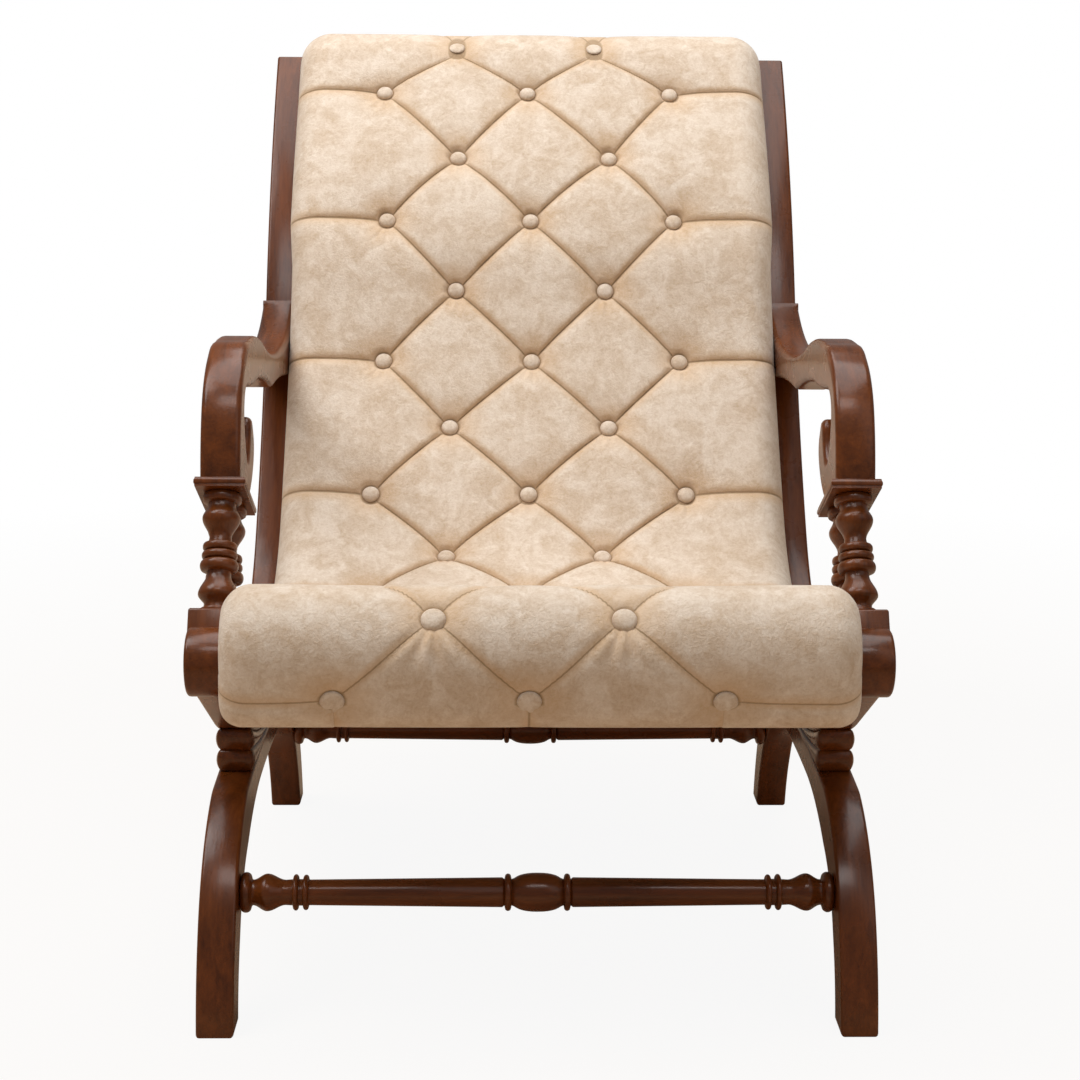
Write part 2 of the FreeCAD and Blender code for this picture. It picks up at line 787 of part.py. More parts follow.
def make_arm(name, across, edge):
    """The scrolled arm: front scroll, hook behind it, and tail on the front of the stile."""
    half = S.arm_foot_length / 2
    foot_front = post_point(edge, S.post_along - half, arm_base())
    foot_back = post_point(edge, S.post_along + half, arm_base())
    gap = S.fit_clearance
    tail_top = aside(edge.lumbar_end, S.lumbar_exit, gap)
    tail_under = aside(edge.in_lumbar(arm_tail_slope()), arm_tail_slope(), gap)
    length = tail_top[0] - foot_front[0]
    rise = tail_top[1] - foot_front[1]

    def placed(shares):
        return [((foot_front[0] + length * along, foot_front[1] + rise * up), bow)
                for along, up, bow in shares]

    top = placed(ARM_TOP_SHARES)
    under = placed(ARM_UNDER_SHARES)
    corners = [(foot_front, ARM_FRONT_SHARE)] + top
    corners += [(tail_top, None), (tail_under, ARM_TAIL_SHARE)] + under + [(foot_back, 0)]
    outline = []
    for place, (corner, bow) in enumerate(corners):
        following = corners[(place + 1) % len(corners)][0]
        if bow is None:
            outline.append(right_turn(corner, S.lumbar_radius - gap))
        else:
            outline.append(bowed(corner, following, -bow))
    piece = Piece(f"{name}_arm")
    piece.pad("YZ_Plane", outline, S.frame_thickness)
    piece.pad("YZ_Plane", arm_tongue(edge, sized(0)), S.frame_thickness / 3)
    piece.put(across, S_SHIFT, sized(0))


def block_outline(width, length):
    """A rectangle on the post's own plan, across and along the seat rail."""
    return rectangle((sized(0), sized(0)), sized(0), width, length)


def make_plinth(name, across, edge):
    """The block under the spindles, with its bores."""
    piece = Piece(f"{name}_arm_plinth")
    piece.rise("XY_Plane", block_outline(S.plinth_width, S.plinth_length), S.plinth_height)
    post_bores(piece, S.plinth_height, S.tenon_depth)
    DOC.recompute()
    base = piece.body.Tip
    tops = [f"Edge{number}" for number, line in enumerate(base.Shape.Edges, 1)
            if len(line.Vertexes) == 2
            and min(point.Z for point in line.Vertexes) > S.plinth_height.value / 2]
    rounding = piece.body.newObject("PartDesign::Chamfer", "Rounding")
    rounding.Base = (base, tops)
    rounding.setExpression("Size", S.plinth_round.text)
    origin = post_point(edge, S.post_along, sized(0))
    piece.put(across, origin[0] + S_SHIFT, origin[1], -S.seat_slope)


def post_bores(piece, face, depth):
    """Two blind bores along the post's own axis, from the face at that height into the piece."""
    sketch = piece.sketch("XY_Plane")
    radius = S.tenon_radius + S.fit_clearance
    for way in (-1, 1):
        place = S.spindle_spacing * (way / 2)
        circle = Part.Circle(Vector(0, place.value, 0), Vector(0, 0, 1), radius.value)
        number = sketch.addGeometry(circle, False)
        first = sketch.ConstraintCount
        sketch.addConstraint(Sketcher.Constraint("DistanceX", number, 3, 0.0))
        sketch.addConstraint(Sketcher.Constraint("DistanceY", number, 3, place.value))
        sketch.addConstraint(Sketcher.Constraint("Radius", number, radius.value))
        sketch.setExpression(f"Constraints[{first + 1}]", place.text)
        sketch.setExpression(f"Constraints[{first + 2}]", radius.text)
    sketch.setExpression("AttachmentOffset.Base.z", face.text)
    feature = piece.body.newObject("PartDesign::Pocket", "Bores")
    feature.Profile = sketch
    feature.SideType = "Symmetric"
    feature.setExpression("Length", ((depth + S.fit_clearance) * 2).text)


def cap_cuts(reach, way):
    """What is cut from one side of the cap: the flare below its edge and the slope above."""
    edge = reach * way
    beyond = edge + S.overrun * way
    shoulder = S.cap_flare + S.cap_edge
    lower = [
        straight((edge - S.cap_cove * way, sized(0))),
        straight((edge, S.cap_flare)),
        straight((beyond, S.cap_flare)),
        straight((beyond, sized(0))),
    ]
    upper = [
        straight((edge, shoulder)),
        straight((edge - S.cap_set_back * way, cap_height())),
        straight((beyond, cap_height())),
        straight((beyond, shoulder)),
    ]
    return lower, upper


def make_cap(name, across, edge):
    """The moulded plate on the spindles that the arm stands on."""
    piece = Piece(f"{name}_arm_cap")
    piece.rise("XY_Plane", block_outline(S.cap_width, S.cap_length), cap_height())
    for role, size in (("XZ_Plane", S.cap_width), ("YZ_Plane", S.cap_length)):
        for way in (-1, 1):
            piece.cut_through(role, *cap_cuts(size / 2, way))
    post_bores(piece, sized(0), S.cap_tenon_depth)
    origin = post_point(edge, S.post_along, S.plinth_height + S.spindle_height)
    piece.put(across, origin[0] + S_SHIFT, origin[1], -S.seat_slope)


def make_spindle(name, across, edge, along):
    """A turned spindle with a round tenon at each end."""
    below = S.tenon_depth
    above = S.spindle_height + S.cap_tenon_depth
    profile = [(S.tenon_radius, -below), (S.tenon_radius, sized(0))]
    profile += [(S.spindle_radius * radius, S.spindle_height * place)
                for place, radius in SPINDLE_SHARES]
    profile += [(S.tenon_radius, S.spindle_height), (S.tenon_radius, above)]
    spindle = add_shape(f"{name}_spindle", turned_solid(profile))
    origin = post_point(edge, along, S.plinth_height)
    place_at(spindle, across, origin[0] + S_SHIFT, origin[1], -S.seat_slope)


def make_stretcher(name, way):
    """A turned stretcher along X, the same on both sides of its centre bulb."""
    tenon = S.stretcher_tenon_radius
    end = S.inner_half_width + S.stretcher_tenon_length
    half = [(S.stretcher_radius * radius, S.inner_half_width * place)
            for place, radius in STRETCHER_SHARES]
    half += [(tenon, S.inner_half_width), (tenon, end)]
    profile = [(radius, -place) for radius, place in reversed(half)] + half
    stretcher = add_shape(f"{name}_stretcher", turned_solid(profile))
    along = S.stretcher_forward * way + S_SHIFT
    stretcher.Placement = Placement(
        Vector(0, along.value, S.stretcher_height.value), Rotation(Vector(0, 1, 0), 90))
    stretcher.setExpression("Placement.Base.y", along.text)
    stretcher.setExpression("Placement.Base.z", S.stretcher_height.text)


def make_cross_rail(name, edge_point, slope):
    """A flat board between the side frames with a tenon at each end."""
    centre = cross_rail_centre(edge_point, slope)
    width = S.inner_half_width * 2 - S.fit_clearance * 2
    piece = Piece(name)
    piece.pad("YZ_Plane", block_outline(S.cross_rail_width, S.cross_rail_thickness), width)
    reach = width + S.cross_tenon_length * 2
    piece.pad("YZ_Plane", block_outline(S.cross_tenon_width, S.cross_tenon_thickness), reach)
    piece.put(sized(0), centre[0] + S_SHIFT, centre[1], slope)


def tangent_slope(edge):
    """The slope of the webbing line between the front rail's nose and the seat's hollow."""
    centre = front_rail_centre(edge)
    hollow = aside(edge.hollow_start, edge.start_slope, S.hollow_radius)
    span = spread(centre, hollow).value
    reach = S.front_rail_radius.value + S.hollow_radius.value + S.support_inset.value
    lean = math.degrees(math.atan2(hollow[1].value - centre[1].value, hollow[0].value - centre[0].value))
    return lean - math.degrees(math.asin(reach / span))


def make_front_rail(edge):
    """The front rail: a round nose that the pad rolls over, and a flat tail behind it."""
    centre = front_rail_centre(edge)
    radius = S.front_rail_radius
    slope = edge.start_slope
    fall = Size(tangent_slope(edge), f"({tangent_slope(edge)!r})")
    upper = aside(centre, fall, radius)
    lower = aside(centre, slope, -radius)
    nose = ahead(centre, slope, -radius)
    outline = [
        straight(upper),
        straight(ahead(upper, fall, S.front_rail_flat)),
        straight(ahead(lower, slope, S.front_rail_flat * 2)),
        right_turn(lower, radius),
        right_turn(nose, radius),
    ]
    piece = Piece("front_rail")
    width = S.inner_half_width * 2 - S.fit_clearance * 2
    piece.pad("YZ_Plane", outline, width)
    piece.pad("YZ_Plane", front_mortise(edge, sized(0)), width + S.cross_tenon_length * 2)
    piece.put(sized(0), S_SHIFT, sized(0))


def make_crest_rail(edge):
    """The crest rail: a board with a round top edge that the pad rolls over."""
    centre = crest_centre(edge)
    radius = crest_radius()
    slope = S.crest_slope
    front = aside(centre, slope, radius)
    rear = aside(centre, slope, -radius)
    top = ahead(centre, slope, radius)
    outline = [
        right_turn(front, radius),
        right_turn(top, radius),
        straight(rear),
        straight(ahead(rear, slope, -S.crest_tail)),
        straight(ahead(front, slope, -S.crest_tail)),
    ]
    piece = Piece("crest_rail")
    width = S.inner_half_width * 2 - S.fit_clearance * 2
    piece.pad("YZ_Plane", outline, width)
    piece.pad("YZ_Plane", crest_mortise(edge, sized(0)), width + S.cross_tenon_length * 2)
    piece.put(sized(0), S_SHIFT, sized(0))


def make_batten(name, side, edge):
    """The curved batten on the inside of a frame that the webbing is tacked to."""
    piece = Piece(f"{name}_batten")
    start = S.front_rail_set + S.front_rail_radius * 2
    crest_end = S.crest_slope + crest_clear()
    outline = band(edge, S.support_inset + S.webbing_thickness, S.batten_depth, start, crest_end)
    piece.pad("YZ_Plane", outline, S.batten_width)
    across = (S.inner_half_width - S.batten_width / 2) * side
    piece.put(across, S_SHIFT, sized(0))


def crest_clear():
    """The turn of the shoulder over the crest rail's tail, so that a strip ends below the rail."""
    length = S.crest_tail + S.soft_clearance * 2
    return length / (S.shoulder_radius - S.member_depth) * math.degrees(1)


def make_lining(edge):
    """The cloth that closes the underside and the outside back."""
    piece = Piece("outside_lining")
    start = S.front_rail_set + S.front_rail_flat
    outline = band(edge, lining_inset(), S.lining_thickness, start, S.crest_slope + crest_clear() / 2)
    piece.pad("YZ_Plane", outline, S.inner_half_width * 2 - S.soft_clearance * 2)
    piece.put(sized(0), S_SHIFT, sized(0))


class Support:
    """The line that carries the pad: round the front rail, down the seat, up the back, over the crest.

    It is a list of stretches, each with a length, a starting point, a starting slope and a
    radius, which is negative where the line turns right and none where it is straight.
    """

    def __init__(self, edge):
        radius = S.front_rail_radius.value
        centre = [size.value for size in front_rail_centre(edge)]
        self.fall = tangent_slope(edge)
        self.wrap_start = 180 - S.seat_slope.value
        inset = S.support_inset.value
        self.hollow_radius = S.hollow_radius.value + inset
        hollow = [size.value for size in aside(edge.hollow_start, edge.start_slope, S.hollow_radius)]
        span = math.dist(centre, hollow)
        run = math.sqrt(span ** 2 - (radius + self.hollow_radius) ** 2)
        point = self.offset(centre, self.wrap_start, radius)
        self.stretches = []
        self.length = 0.0
        self.marks = {"wrap": 0.0}
        point = self.add(point, self.wrap_start, self.fall, -radius)
        self.marks["seat"] = self.length
        point = self.add_run(point, self.fall, run)
        self.marks["hollow"] = self.length
        point = self.add(point, self.fall, S.hollow_exit.value, self.hollow_radius)
        self.marks["lumbar"] = self.length
        point = self.add(point, S.hollow_exit.value, S.lumbar_exit.value, S.lumbar_radius.value + inset)
        self.marks["shoulder"] = self.length
        point = self.add(point, S.lumbar_exit.value, S.crest_slope.value, inset - S.shoulder_radius.value)
        self.marks["crest"] = self.length
        self.crest_end = S.crest_slope.value - 180
        self.add(point, S.crest_slope.value, self.crest_end, -crest_radius().value)
        self.marks["end"] = self.length

    @staticmethod
    def offset(point, slope, distance):
        turn = math.radians(slope)
        return [point[0] - math.sin(turn) * distance, point[1] + math.cos(turn) * distance]

    def add(self, point, slope, new_slope, radius):
        length = abs(math.radians(new_slope - slope) * radius)
        self.stretches.append((self.length, length, point, slope, radius))
        self.length += length
        return self.step(point, slope, radius, length)[0]

    def add_run(self, point, slope, length):
        self.stretches.append((self.length, length, point, slope, None))
        self.length += length
        return self.step(point, slope, None, length)[0]

    @staticmethod
    def step(point, slope, radius, distance):
        turn = math.radians(slope)
        if radius is None:
            return [point[0] + math.cos(turn) * distance, point[1] + math.sin(turn) * distance], slope
        new = turn + distance / radius
        return ([point[0] + radius * (math.sin(new) - math.sin(turn)),
                 point[1] + radius * (math.cos(turn) - math.cos(new))], math.degrees(new))

    def at(self, place):
        """The point and the slope at a length along the line."""
        for begin, length, point, slope, radius in self.stretches:
            if place <= begin + length:
                break
        return self.step(point, slope, radius, place - begin)

    def curve(self, place):
        """How much the line bends to the left there, one over its radius."""
        for begin, length, _, _, radius in self.stretches:
            if place <= begin + length:
                break
        return 0.0 if radius is None else 1 / radius


def eased(share):
    """Zero to one with level ends."""
    return share * share * (3 - 2 * share)


class Pad:
    """The tufted pad: its thickness along the support line, and its rows of buttons."""

    def __init__(self, support):
        self.support = support
        marks = support.marks
        wrap = marks["seat"]
        self.levels = (
            (0.0, S.pad_start_thickness.value),
            (wrap * ROLL_FULL_SHARES[0], S.pad_front_thickness.value),
            (wrap * ROLL_FULL_SHARES[1], S.pad_front_thickness.value),
            (wrap, S.pad_roll_thickness.value),
            (marks["hollow"], S.pad_seat_thickness.value),
            (marks["lumbar"], S.pad_lumbar_thickness.value),
            (marks["shoulder"], S.pad_back_thickness.value),
            (marks["crest"], S.pad_crest_thickness.value),
            ((marks["crest"] + marks["end"]) / 2, S.pad_crest_thickness.value * CREST_SHARE),
            (marks["end"], S.pad_end_thickness.value),
        )
        self.rows = self.row_places()

    def thickness(self, place):
        """The crown's height above the support line, eased between the named places."""
        for (begin, low), (finish, high) in zip(self.levels, self.levels[1:]):
            if place <= finish:
                share = (place - begin) / (finish - begin)
                return low + (high - low) * eased(min(max(share, 0.0), 1.0))
        return self.levels[-1][1]

    def row_places(self):
        """Places of the button rows and of the halfway rows between them."""
        length = self.support.length
        rows = []
        for (low, begin), (high, finish) in zip(ROW_ANCHORS, ROW_ANCHORS[1:]):
            rows += self.evened(begin * length, finish * length, 2 * (high - low))
        return rows + [finish * length]

    def evened(self, begin, finish, count):
        """The first place, then the others that part a stretch of the face into even lengths."""
        stride = (finish - begin) / FACE_STEPS
        travelled = 0.0
        lengths = [travelled]
        for step in range(FACE_STEPS):
            place = begin + (step + 0.5) * stride
            height = self.thickness(place) - S.tuft_depth.value
            travelled += stride * (1 - height * self.support.curve(place))
            lengths.append(travelled)
        wanted = [travelled * number / count for number in range(count)]
        return [begin + stride * sum(length < mark for length in lengths) for mark in wanted]


def pad_half():
    """Half the pad's width: it fills the space between the side frames."""
    return (S.inner_half_width - S.soft_clearance).value


def puff(share):
    """A tuft's rise between two pleats: none on the pleat, full halfway to the next one."""
    away = 1 - 2 * abs(share - round(share))
    return math.sqrt(1 - away * away)


def tuft_dip(columns, rows):
    """How far the pad's face lies below its crown, at a place counted in columns and rows.

    Buttons sit where both diagonals, columns plus and minus half the rows, are whole numbers,
    and pleats run along the diagonals. Outside the outer buttons the pleats run straight out.
    """
    held = min(max(columns, -1.0), 1.0)
    one = held + rows / 2
    other = held - rows / 2
    away = math.hypot((columns - (round(one) + round(other)) / 2) * pad_half() * PITCH_SHARE,
                      (rows - round(one) + round(other)) * S.tuft_rise.value)
    pleats = S.pleat_depth.value * (1 - puff(one) * puff(other))
    return pleats + (S.tuft_depth - S.pleat_depth).value * max(0.0, 1 - away / S.tuft_reach.value)


def section(pad, place, rows, strength=1.0, shift=0.0):
    """A ring of points across the pad, square to the support line."""
    support = pad.support
    point, slope = support.at(place)
    turn = math.radians(slope)
    point = [point[0] + math.cos(turn) * shift, point[1] + math.sin(turn) * shift]
    crown = pad.thickness(place)
    half = pad_half()
    pitch = half * PITCH_SHARE
    edge = min(S.pad_edge_round.value, crown * ROUNDING_SHARE)
    scale = min(1.0, crown * DEPTH_SHARE / S.tuft_depth.value) * strength
    lift = S.pad_lift.value if support.curve(place) >= 0 else base_lift(support, place)
    step = pitch / TUFT_STEPS
    inner = [number * step for number in range(int((half - S.pad_edge_round.value) / step) + 1)]
    side = [(half - edge * across, edge * down) for across, down in SIDE_SHARES]
    across = [(place_in, 0.0) for place_in in inner] + side[::-1]
    right = [(across_by, crown - down - scale * tuft_dip(across_by / pitch, rows))
             for across_by, down in across]
    right.append((half, lift))
    ring = [(-x, up) for x, up in reversed(right)] + right[1:]
    return [Vector(x, point[0] - math.sin(turn) * up, point[1] + math.cos(turn) * up) for x, up in ring]


def base_lift(support, place):
    """The lift that keeps the straight chords of the pad's underside clear of a round rail."""
    radius = abs(1 / support.curve(place))
    if radius > S.shoulder_radius.value / 2:
        return S.pad_lift.value
    return (radius + S.soft_clearance.value) / math.cos(math.radians(S.chord_turn.value) / 2) - radius


def pad_solids(pad):
    """The seat part and the back part of the pad, each skinned over its own sections."""
    places = pad.rows
    half_gap = S.soft_clearance.value / 2
    crease = 2 * CREASE_ROW
    ends = (places[0], places[-1])
    last = len(places) - 1
    seat = [section(pad, ends[0] * share, share - 1, share) for share in FRONT_SHARES]
    seat += [section(pad, places[step], step / 2) for step in range(crease)]
    seat.append(section(pad, places[crease], CREASE_ROW, 1.0, -half_gap))
    back = [section(pad, places[crease], CREASE_ROW, 1.0, half_gap)]
    back += [section(pad, places[step], step / 2) for step in range(crease + 1, last + 1)]
    tail = pad.support.length - ends[1]
    back += [section(pad, ends[1] + tail * share, last / 2 + share, 1 - share) for share in REAR_SHARES]
    return {"seat_pad": notched(skinned(seat)), "back_pad": skinned(back)}


def notched(cushion):
    """The seat part of the pad, cut clear of the two plinths that stand proud of the rails."""
    clear = S.soft_clearance.value
    length = S.plinth_length.value + 2 * clear
    width = S.plinth_width.value + 2 * clear
    origin = post_point(EDGE, S.post_along, sized(0))
    for way in (-1, 1):
        block = Part.makeBox(width, length, S.plinth_height.value + clear)
        across = (S.inner_half_width + S.frame_thickness / 2).value * way
        tilt = Rotation(Vector(1, 0, 0), -S.seat_slope.value)
        corner = tilt.multVec(Vector(-width / 2, -length / 2, 0))
        block.Placement = Placement(Vector(across, origin[0].value, origin[1].value) + corner, tilt)
        cushion = cushion.cut(block)
    return cushion


def add_shape(name, shape):
    """A sub-part whose shape is set directly."""
    feature = DOC.addObject("Part::Feature", name)
    feature.Label = name
    feature.Shape = shape
    PIECES.append(feature)
    return feature


def make_buttons(pad):
    """The covered buttons, each a low eight-sided dome over its own seat in the pad."""
    buttons = []
    radius = S.button_radius.value
    rings = [round_ring(radius, 0, BUTTON_SIDES),
             round_ring(radius * BUTTON_TOP_SHARE, S.button_rise.value, BUTTON_SIDES)]
    for step, place in enumerate(pad.rows[::2]):
        columns = (-0.5, 0.5) if step % 2 else (-1, 0, 1)
        for column in columns:
            dome = skinned(rings)
            seat_button(dome, pad, place, column * pad_half() * PITCH_SHARE,
                        CUSHIONS["seat_pad" if step < CREASE_ROW else "back_pad"])
            buttons.append(dome)
    group = add_shape("tuft_buttons", Part.makeCompound(buttons))
    group.Placement = Placement(Vector(0, S_SHIFT.value, 0), Rotation())


def seat_button(dome, pad, place, across, cushion):
    """Lowers a button into its dimple until it is just clear of the pad."""
    point, slope = pad.support.at(place)
    tilt = Rotation(Vector(1, 0, 0), slope)
    up = pad.thickness(place)
    for _ in range(SEATING_STEPS):
        base = Vector(across, point[0], point[1]) + tilt.multVec(Vector(0, 0, up))
        dome.Placement = Placement(base, tilt)
        up -= dome.distToShape(cushion)[0] - S.soft_clearance.value


def make_webbing(pad):
    """Straps from batten to batten, evenly pitched along the support line."""
    support = pad.support
    first = support.marks["seat"] + S.front_rail_flat.value + S.webbing_width.value
    last = support.marks["crest"] - S.crest_tail.value - S.webbing_width.value / 2 - S.soft_clearance.value
    count = int((last - first) / S.webbing_pitch.value) + 1
    pitch = (last - first) / (count - 1)
    length = S.inner_half_width * 2 - S.soft_clearance * 2
    straps = []
    for number in range(count):
        place = first + number * pitch
        point, slope = support.at(place)
        bend = max(support.curve(place), 0.0)
        sag = S.webbing_width.value ** 2 * bend / 8
        strap = DOC.addObject("Part::Box", "Strap")
        strap.setExpression("Length", length.text)
        strap.setExpression("Width", S.webbing_width.text)
        strap.setExpression("Height", S.webbing_thickness.text)
        base = Vector(0, point[0] + S_SHIFT.value, point[1])
        tilt = Rotation(Vector(1, 0, 0), slope)
        corner = Vector(-length.value / 2, -S.webbing_width.value / 2, sag - S.webbing_thickness.value)
        strap.Placement = Placement(base + tilt.multVec(corner), tilt)
        straps.append(strap)
    group = DOC.addObject("Part::Compound", "webbing_straps")
    group.Label = "webbing_straps"
    group.Links = straps
    PIECES.append(group)


def make_side(name, side, edge):
    """One side frame with its legs, waist, rail, stile, arm and arm post."""
    across = (S.inner_half_width + S.frame_thickness / 2) * side
    make_legs(name, side, across)
    make_waist(name, across, edge)
    make_seat_rail(name, side, across, edge)
    make_stile(name, side, across, edge)
    make_plinth(name, across, edge)
    for label, along in zip(("front", "rear"), spindle_places()):
        make_spindle(f"{name}_{label}", across, edge, along)
    make_cap(name, across, edge)
    make_arm(name, across, edge)
    make_batten(name, side, edge)


def check(pieces):
    """Stops where an object failed or a sub-part's shape is missing or not valid."""
    for item in DOC.Objects:
        if "Invalid" in item.State or "Error" in item.State:
            raise RuntimeError(f"{item.Label} failed: {item.State}")
    for piece in pieces:
        if piece.Shape.isNull() or not piece.Shape.isValid():
            raise RuntimeError(f"{piece.Label} has no valid shape")


DOC = FreeCAD.newDocument("EasyChair")
SHEET = DOC.addObject("Spreadsheet::Sheet", "Sizes")
PIECES = []


class Cells:
    """The sizes by name, each tied to its own cell."""


S = Cells()
for row, (alias, value) in enumerate(SIZES.items(), 1):
    SHEET.set(f"A{row}", alias.replace("_", " "))
    SHEET.set(f"B{row}", str(value))
    SHEET.setAlias(f"B{row}", alias)
    setattr(S, alias, Size(value, f"Sizes.{alias}"))
DOC.recompute()

EDGE = Edge()
PAD = Pad(Support(EDGE))
CUSHIONS = pad_solids(PAD)
# The pad is the longest piece, so the chair's middle is the pad's, and all moves to set it at zero.
REACH = Part.makeCompound(list(CUSHIONS.values())).optimalBoundingBox(True)
MIDDLE = -(REACH.YMin + REACH.YMax) / 2
S_SHIFT = Size(MIDDLE, f"({MIDDLE!r})")

for label, way in (("left", 1), ("right", -1)):
    make_side(label, way, EDGE)
for label, way in (("front", -1), ("rear", 1)):
    make_stretcher(label, way)
make_front_rail(EDGE)
make_cross_rail("seat_cross_rail", EDGE.in_hollow(-S.seat_cross_slope), -S.seat_cross_slope)
make_cross_rail("lumbar_rail", EDGE.in_hollow(S.lumbar_rail_slope), S.lumbar_rail_slope)
make_cross_rail("back_cross_rail", EDGE.lumbar_end, S.lumbar_exit)
make_crest_rail(EDGE)
make_lining(EDGE)
for label, cushion in CUSHIONS.items():
    add_shape(label, cushion).Placement = Placement(Vector(0, MIDDLE, 0), Rotation())
make_buttons(PAD)
make_webbing(PAD)

DOC.recompute()
check(PIECES)
os.makedirs("parts", exist_ok=True)
for piece in PIECES:
    piece.Shape.exportStep(os.path.join("parts", f"{piece.Label}.step"))
    box = piece.Shape.BoundBox
    print(f"{piece.Label}: volume {piece.Shape.Volume:.0f}, solids {len(piece.Shape.Solids)}, "
          f"y {box.YMin:.1f} to {box.YMax:.1f}, z {box.ZMin:.1f} to {box.ZMax:.1f}")
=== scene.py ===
"""Easy chair: brown lacquered teak side frames with turned posts and a cream button-tufted pad.

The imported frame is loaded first. Every piece below is worked out in millimetres in the frame's own
axes, X to the sitter's left, the chair facing -Y, Z up, and is put into its mesh in metres.
"""

import json

import bmesh
import bpy
import numpy as np
from bpy.props import FloatProperty, FloatVectorProperty, PointerProperty
from mathutils import Matrix, Vector


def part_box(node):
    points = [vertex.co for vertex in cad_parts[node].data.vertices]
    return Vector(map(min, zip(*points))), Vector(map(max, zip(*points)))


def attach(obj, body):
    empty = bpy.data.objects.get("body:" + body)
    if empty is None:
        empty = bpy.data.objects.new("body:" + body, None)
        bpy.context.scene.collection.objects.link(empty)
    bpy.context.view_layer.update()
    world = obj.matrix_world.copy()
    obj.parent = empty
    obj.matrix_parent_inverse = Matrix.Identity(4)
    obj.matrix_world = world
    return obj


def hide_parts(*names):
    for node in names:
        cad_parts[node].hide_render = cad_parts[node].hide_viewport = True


bl_info = {
    "name": "Tufted easy chair",
    "version": (1, 0, 0),
    "blender": (4, 5, 0),
    "location": "View3D > Sidebar > Easy chair",
    "description": "Builds the wood, the tufted pad and the studio round a packed easy chair",
    "category": "Object",
}

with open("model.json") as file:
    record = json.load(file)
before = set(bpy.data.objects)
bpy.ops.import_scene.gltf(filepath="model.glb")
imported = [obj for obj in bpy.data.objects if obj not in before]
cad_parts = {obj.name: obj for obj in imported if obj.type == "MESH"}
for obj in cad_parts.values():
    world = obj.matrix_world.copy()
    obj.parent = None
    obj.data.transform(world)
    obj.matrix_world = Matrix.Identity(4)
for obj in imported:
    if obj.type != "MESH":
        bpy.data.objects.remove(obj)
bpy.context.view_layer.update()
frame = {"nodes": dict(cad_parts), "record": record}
METRE = 0.001
SIDES = (("left", 1), ("right", -1))


def node_box(name):
    """The lowest and highest corner of a node of the frame, in millimetres."""
    low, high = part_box(name)
    return np.array(low) / METRE, np.array(high) / METRE


# Driving places of the side frame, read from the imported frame.
RAIL_LOW, RAIL_HIGH = node_box("left_seat_rail")
INNER = RAIL_LOW[0]
THICKNESS = RAIL_HIGH[0] - RAIL_LOW[0]
ACROSS = INNER + THICKNESS / 2
LEG_LOW, _ = node_box("left_front_leg")
_, LEG_HIGH = node_box("left_rear_leg")
ARCH = (LEG_LOW[1] + LEG_HIGH[1]) / 2

# The side frame, with places measured from the middle of the leg arch.
DEPTH = 51.0
RAIL_START = (-315.5, 366.0)
NOSE_SET = 21.6
NOSE_RADIUS = 31.0
NOSE_CLEAR = 1.0
SEAT_SLOPE = -30.0
SEAT_RUN = 188.0
HOLLOW = (262.0, 52.0)
LUMBAR = (1200.0, 66.0)
SHOULDER = (-1120.0, 50.5)
TOP_SLOPE = 48.6
JOINT_SLOPE = 27.0
CROWN_TOP = 198.0
CROWN_RADIUS = 1900.0
# The leg's corners (y, z, bow). The bow of the crown's edge follows from its radius.
CROWN_EDGE = 2
LEG = (
    (-329.0, 0.0, 0.05), (-290.0, 108.0, 0.09), (-185.0, 189.0, 0.0), (0.0, CROWN_TOP, 0.0),
    (0.0, 167.0, -0.006), (-80.0, 165.0, -0.05), (-190.0, 134.0, -0.10), (-262.0, 72.0, -0.05),
    (-291.0, 0.0, 0.0),
)
LEG_PACE = 3.0
NOSE_POINTS, CREST_POINTS = 41, 13
WAIST_BEAD, BEAD_POWER = 4.5, 0.55
WAIST_CORNER = 2.0
WAIST_RINGS, WAIST_SIDE = 33, 21
POST_ALONG = 82.0
SPINDLE_SPACING = 38.0
PLINTH_HALF = (23.0, 44.0)
PLINTH_CORNER, PLINTH_EDGE = 1.5, 2.5
PLINTH_HEIGHT = 24.0
SPINDLE_HEIGHT = 117.5
CAP_HALF = (24.25, 45.0)
CAP_CORNER = 1.2
CAP_HEIGHT = 9.0
# The cap's cove, as its start and its span (out, height), and its profile above the cove.
COVE_START, COVE_SPAN = (-5.0, 0.3), (4.6, 2.5)
CAP_UPPER = ((-0.2, 3.1), (0.0, 3.4), (0.0, 6.0), (-0.5, 6.5), (-5.6, 8.6), (-6.0, CAP_HEIGHT))
# The arm is a little thicker than the frame. Its outline's corners are shares of its length and rise.
ARM_EXTRA = 3.0
ARM_FOOT = 64.0
ARM_TAIL = 88.0
ARM_GAP, TAIL_REACH = 0.1, 3.0
FOOT_BOW, TAIL_BOW = 0.04, 0.02
ARM_PACE, ARM_SHARP, ARM_PASSES = 2.5, 50.0, 6
ARM_TOP = (
    (0.035, 0.535, -0.10), (0.137, 0.948, -0.09), (0.211, 1.008, -0.06),
    (0.421, 0.870, 0.05), (0.750, 0.672, 0.07),
)
ARM_UNDER = (
    (0.820, 0.345, 0.02), (0.539, 0.405, 0.03), (0.307, 0.621, -0.03), (0.144, 0.664, 0.24),
    (0.092, 0.422, 0.06), (0.112, 0.100, 0.40), (0.137, 0.090, 0.08), (0.166, 0.335, -0.42),
    (0.205, 0.300, -0.16), (0.212, 0.020, -0.12),
)

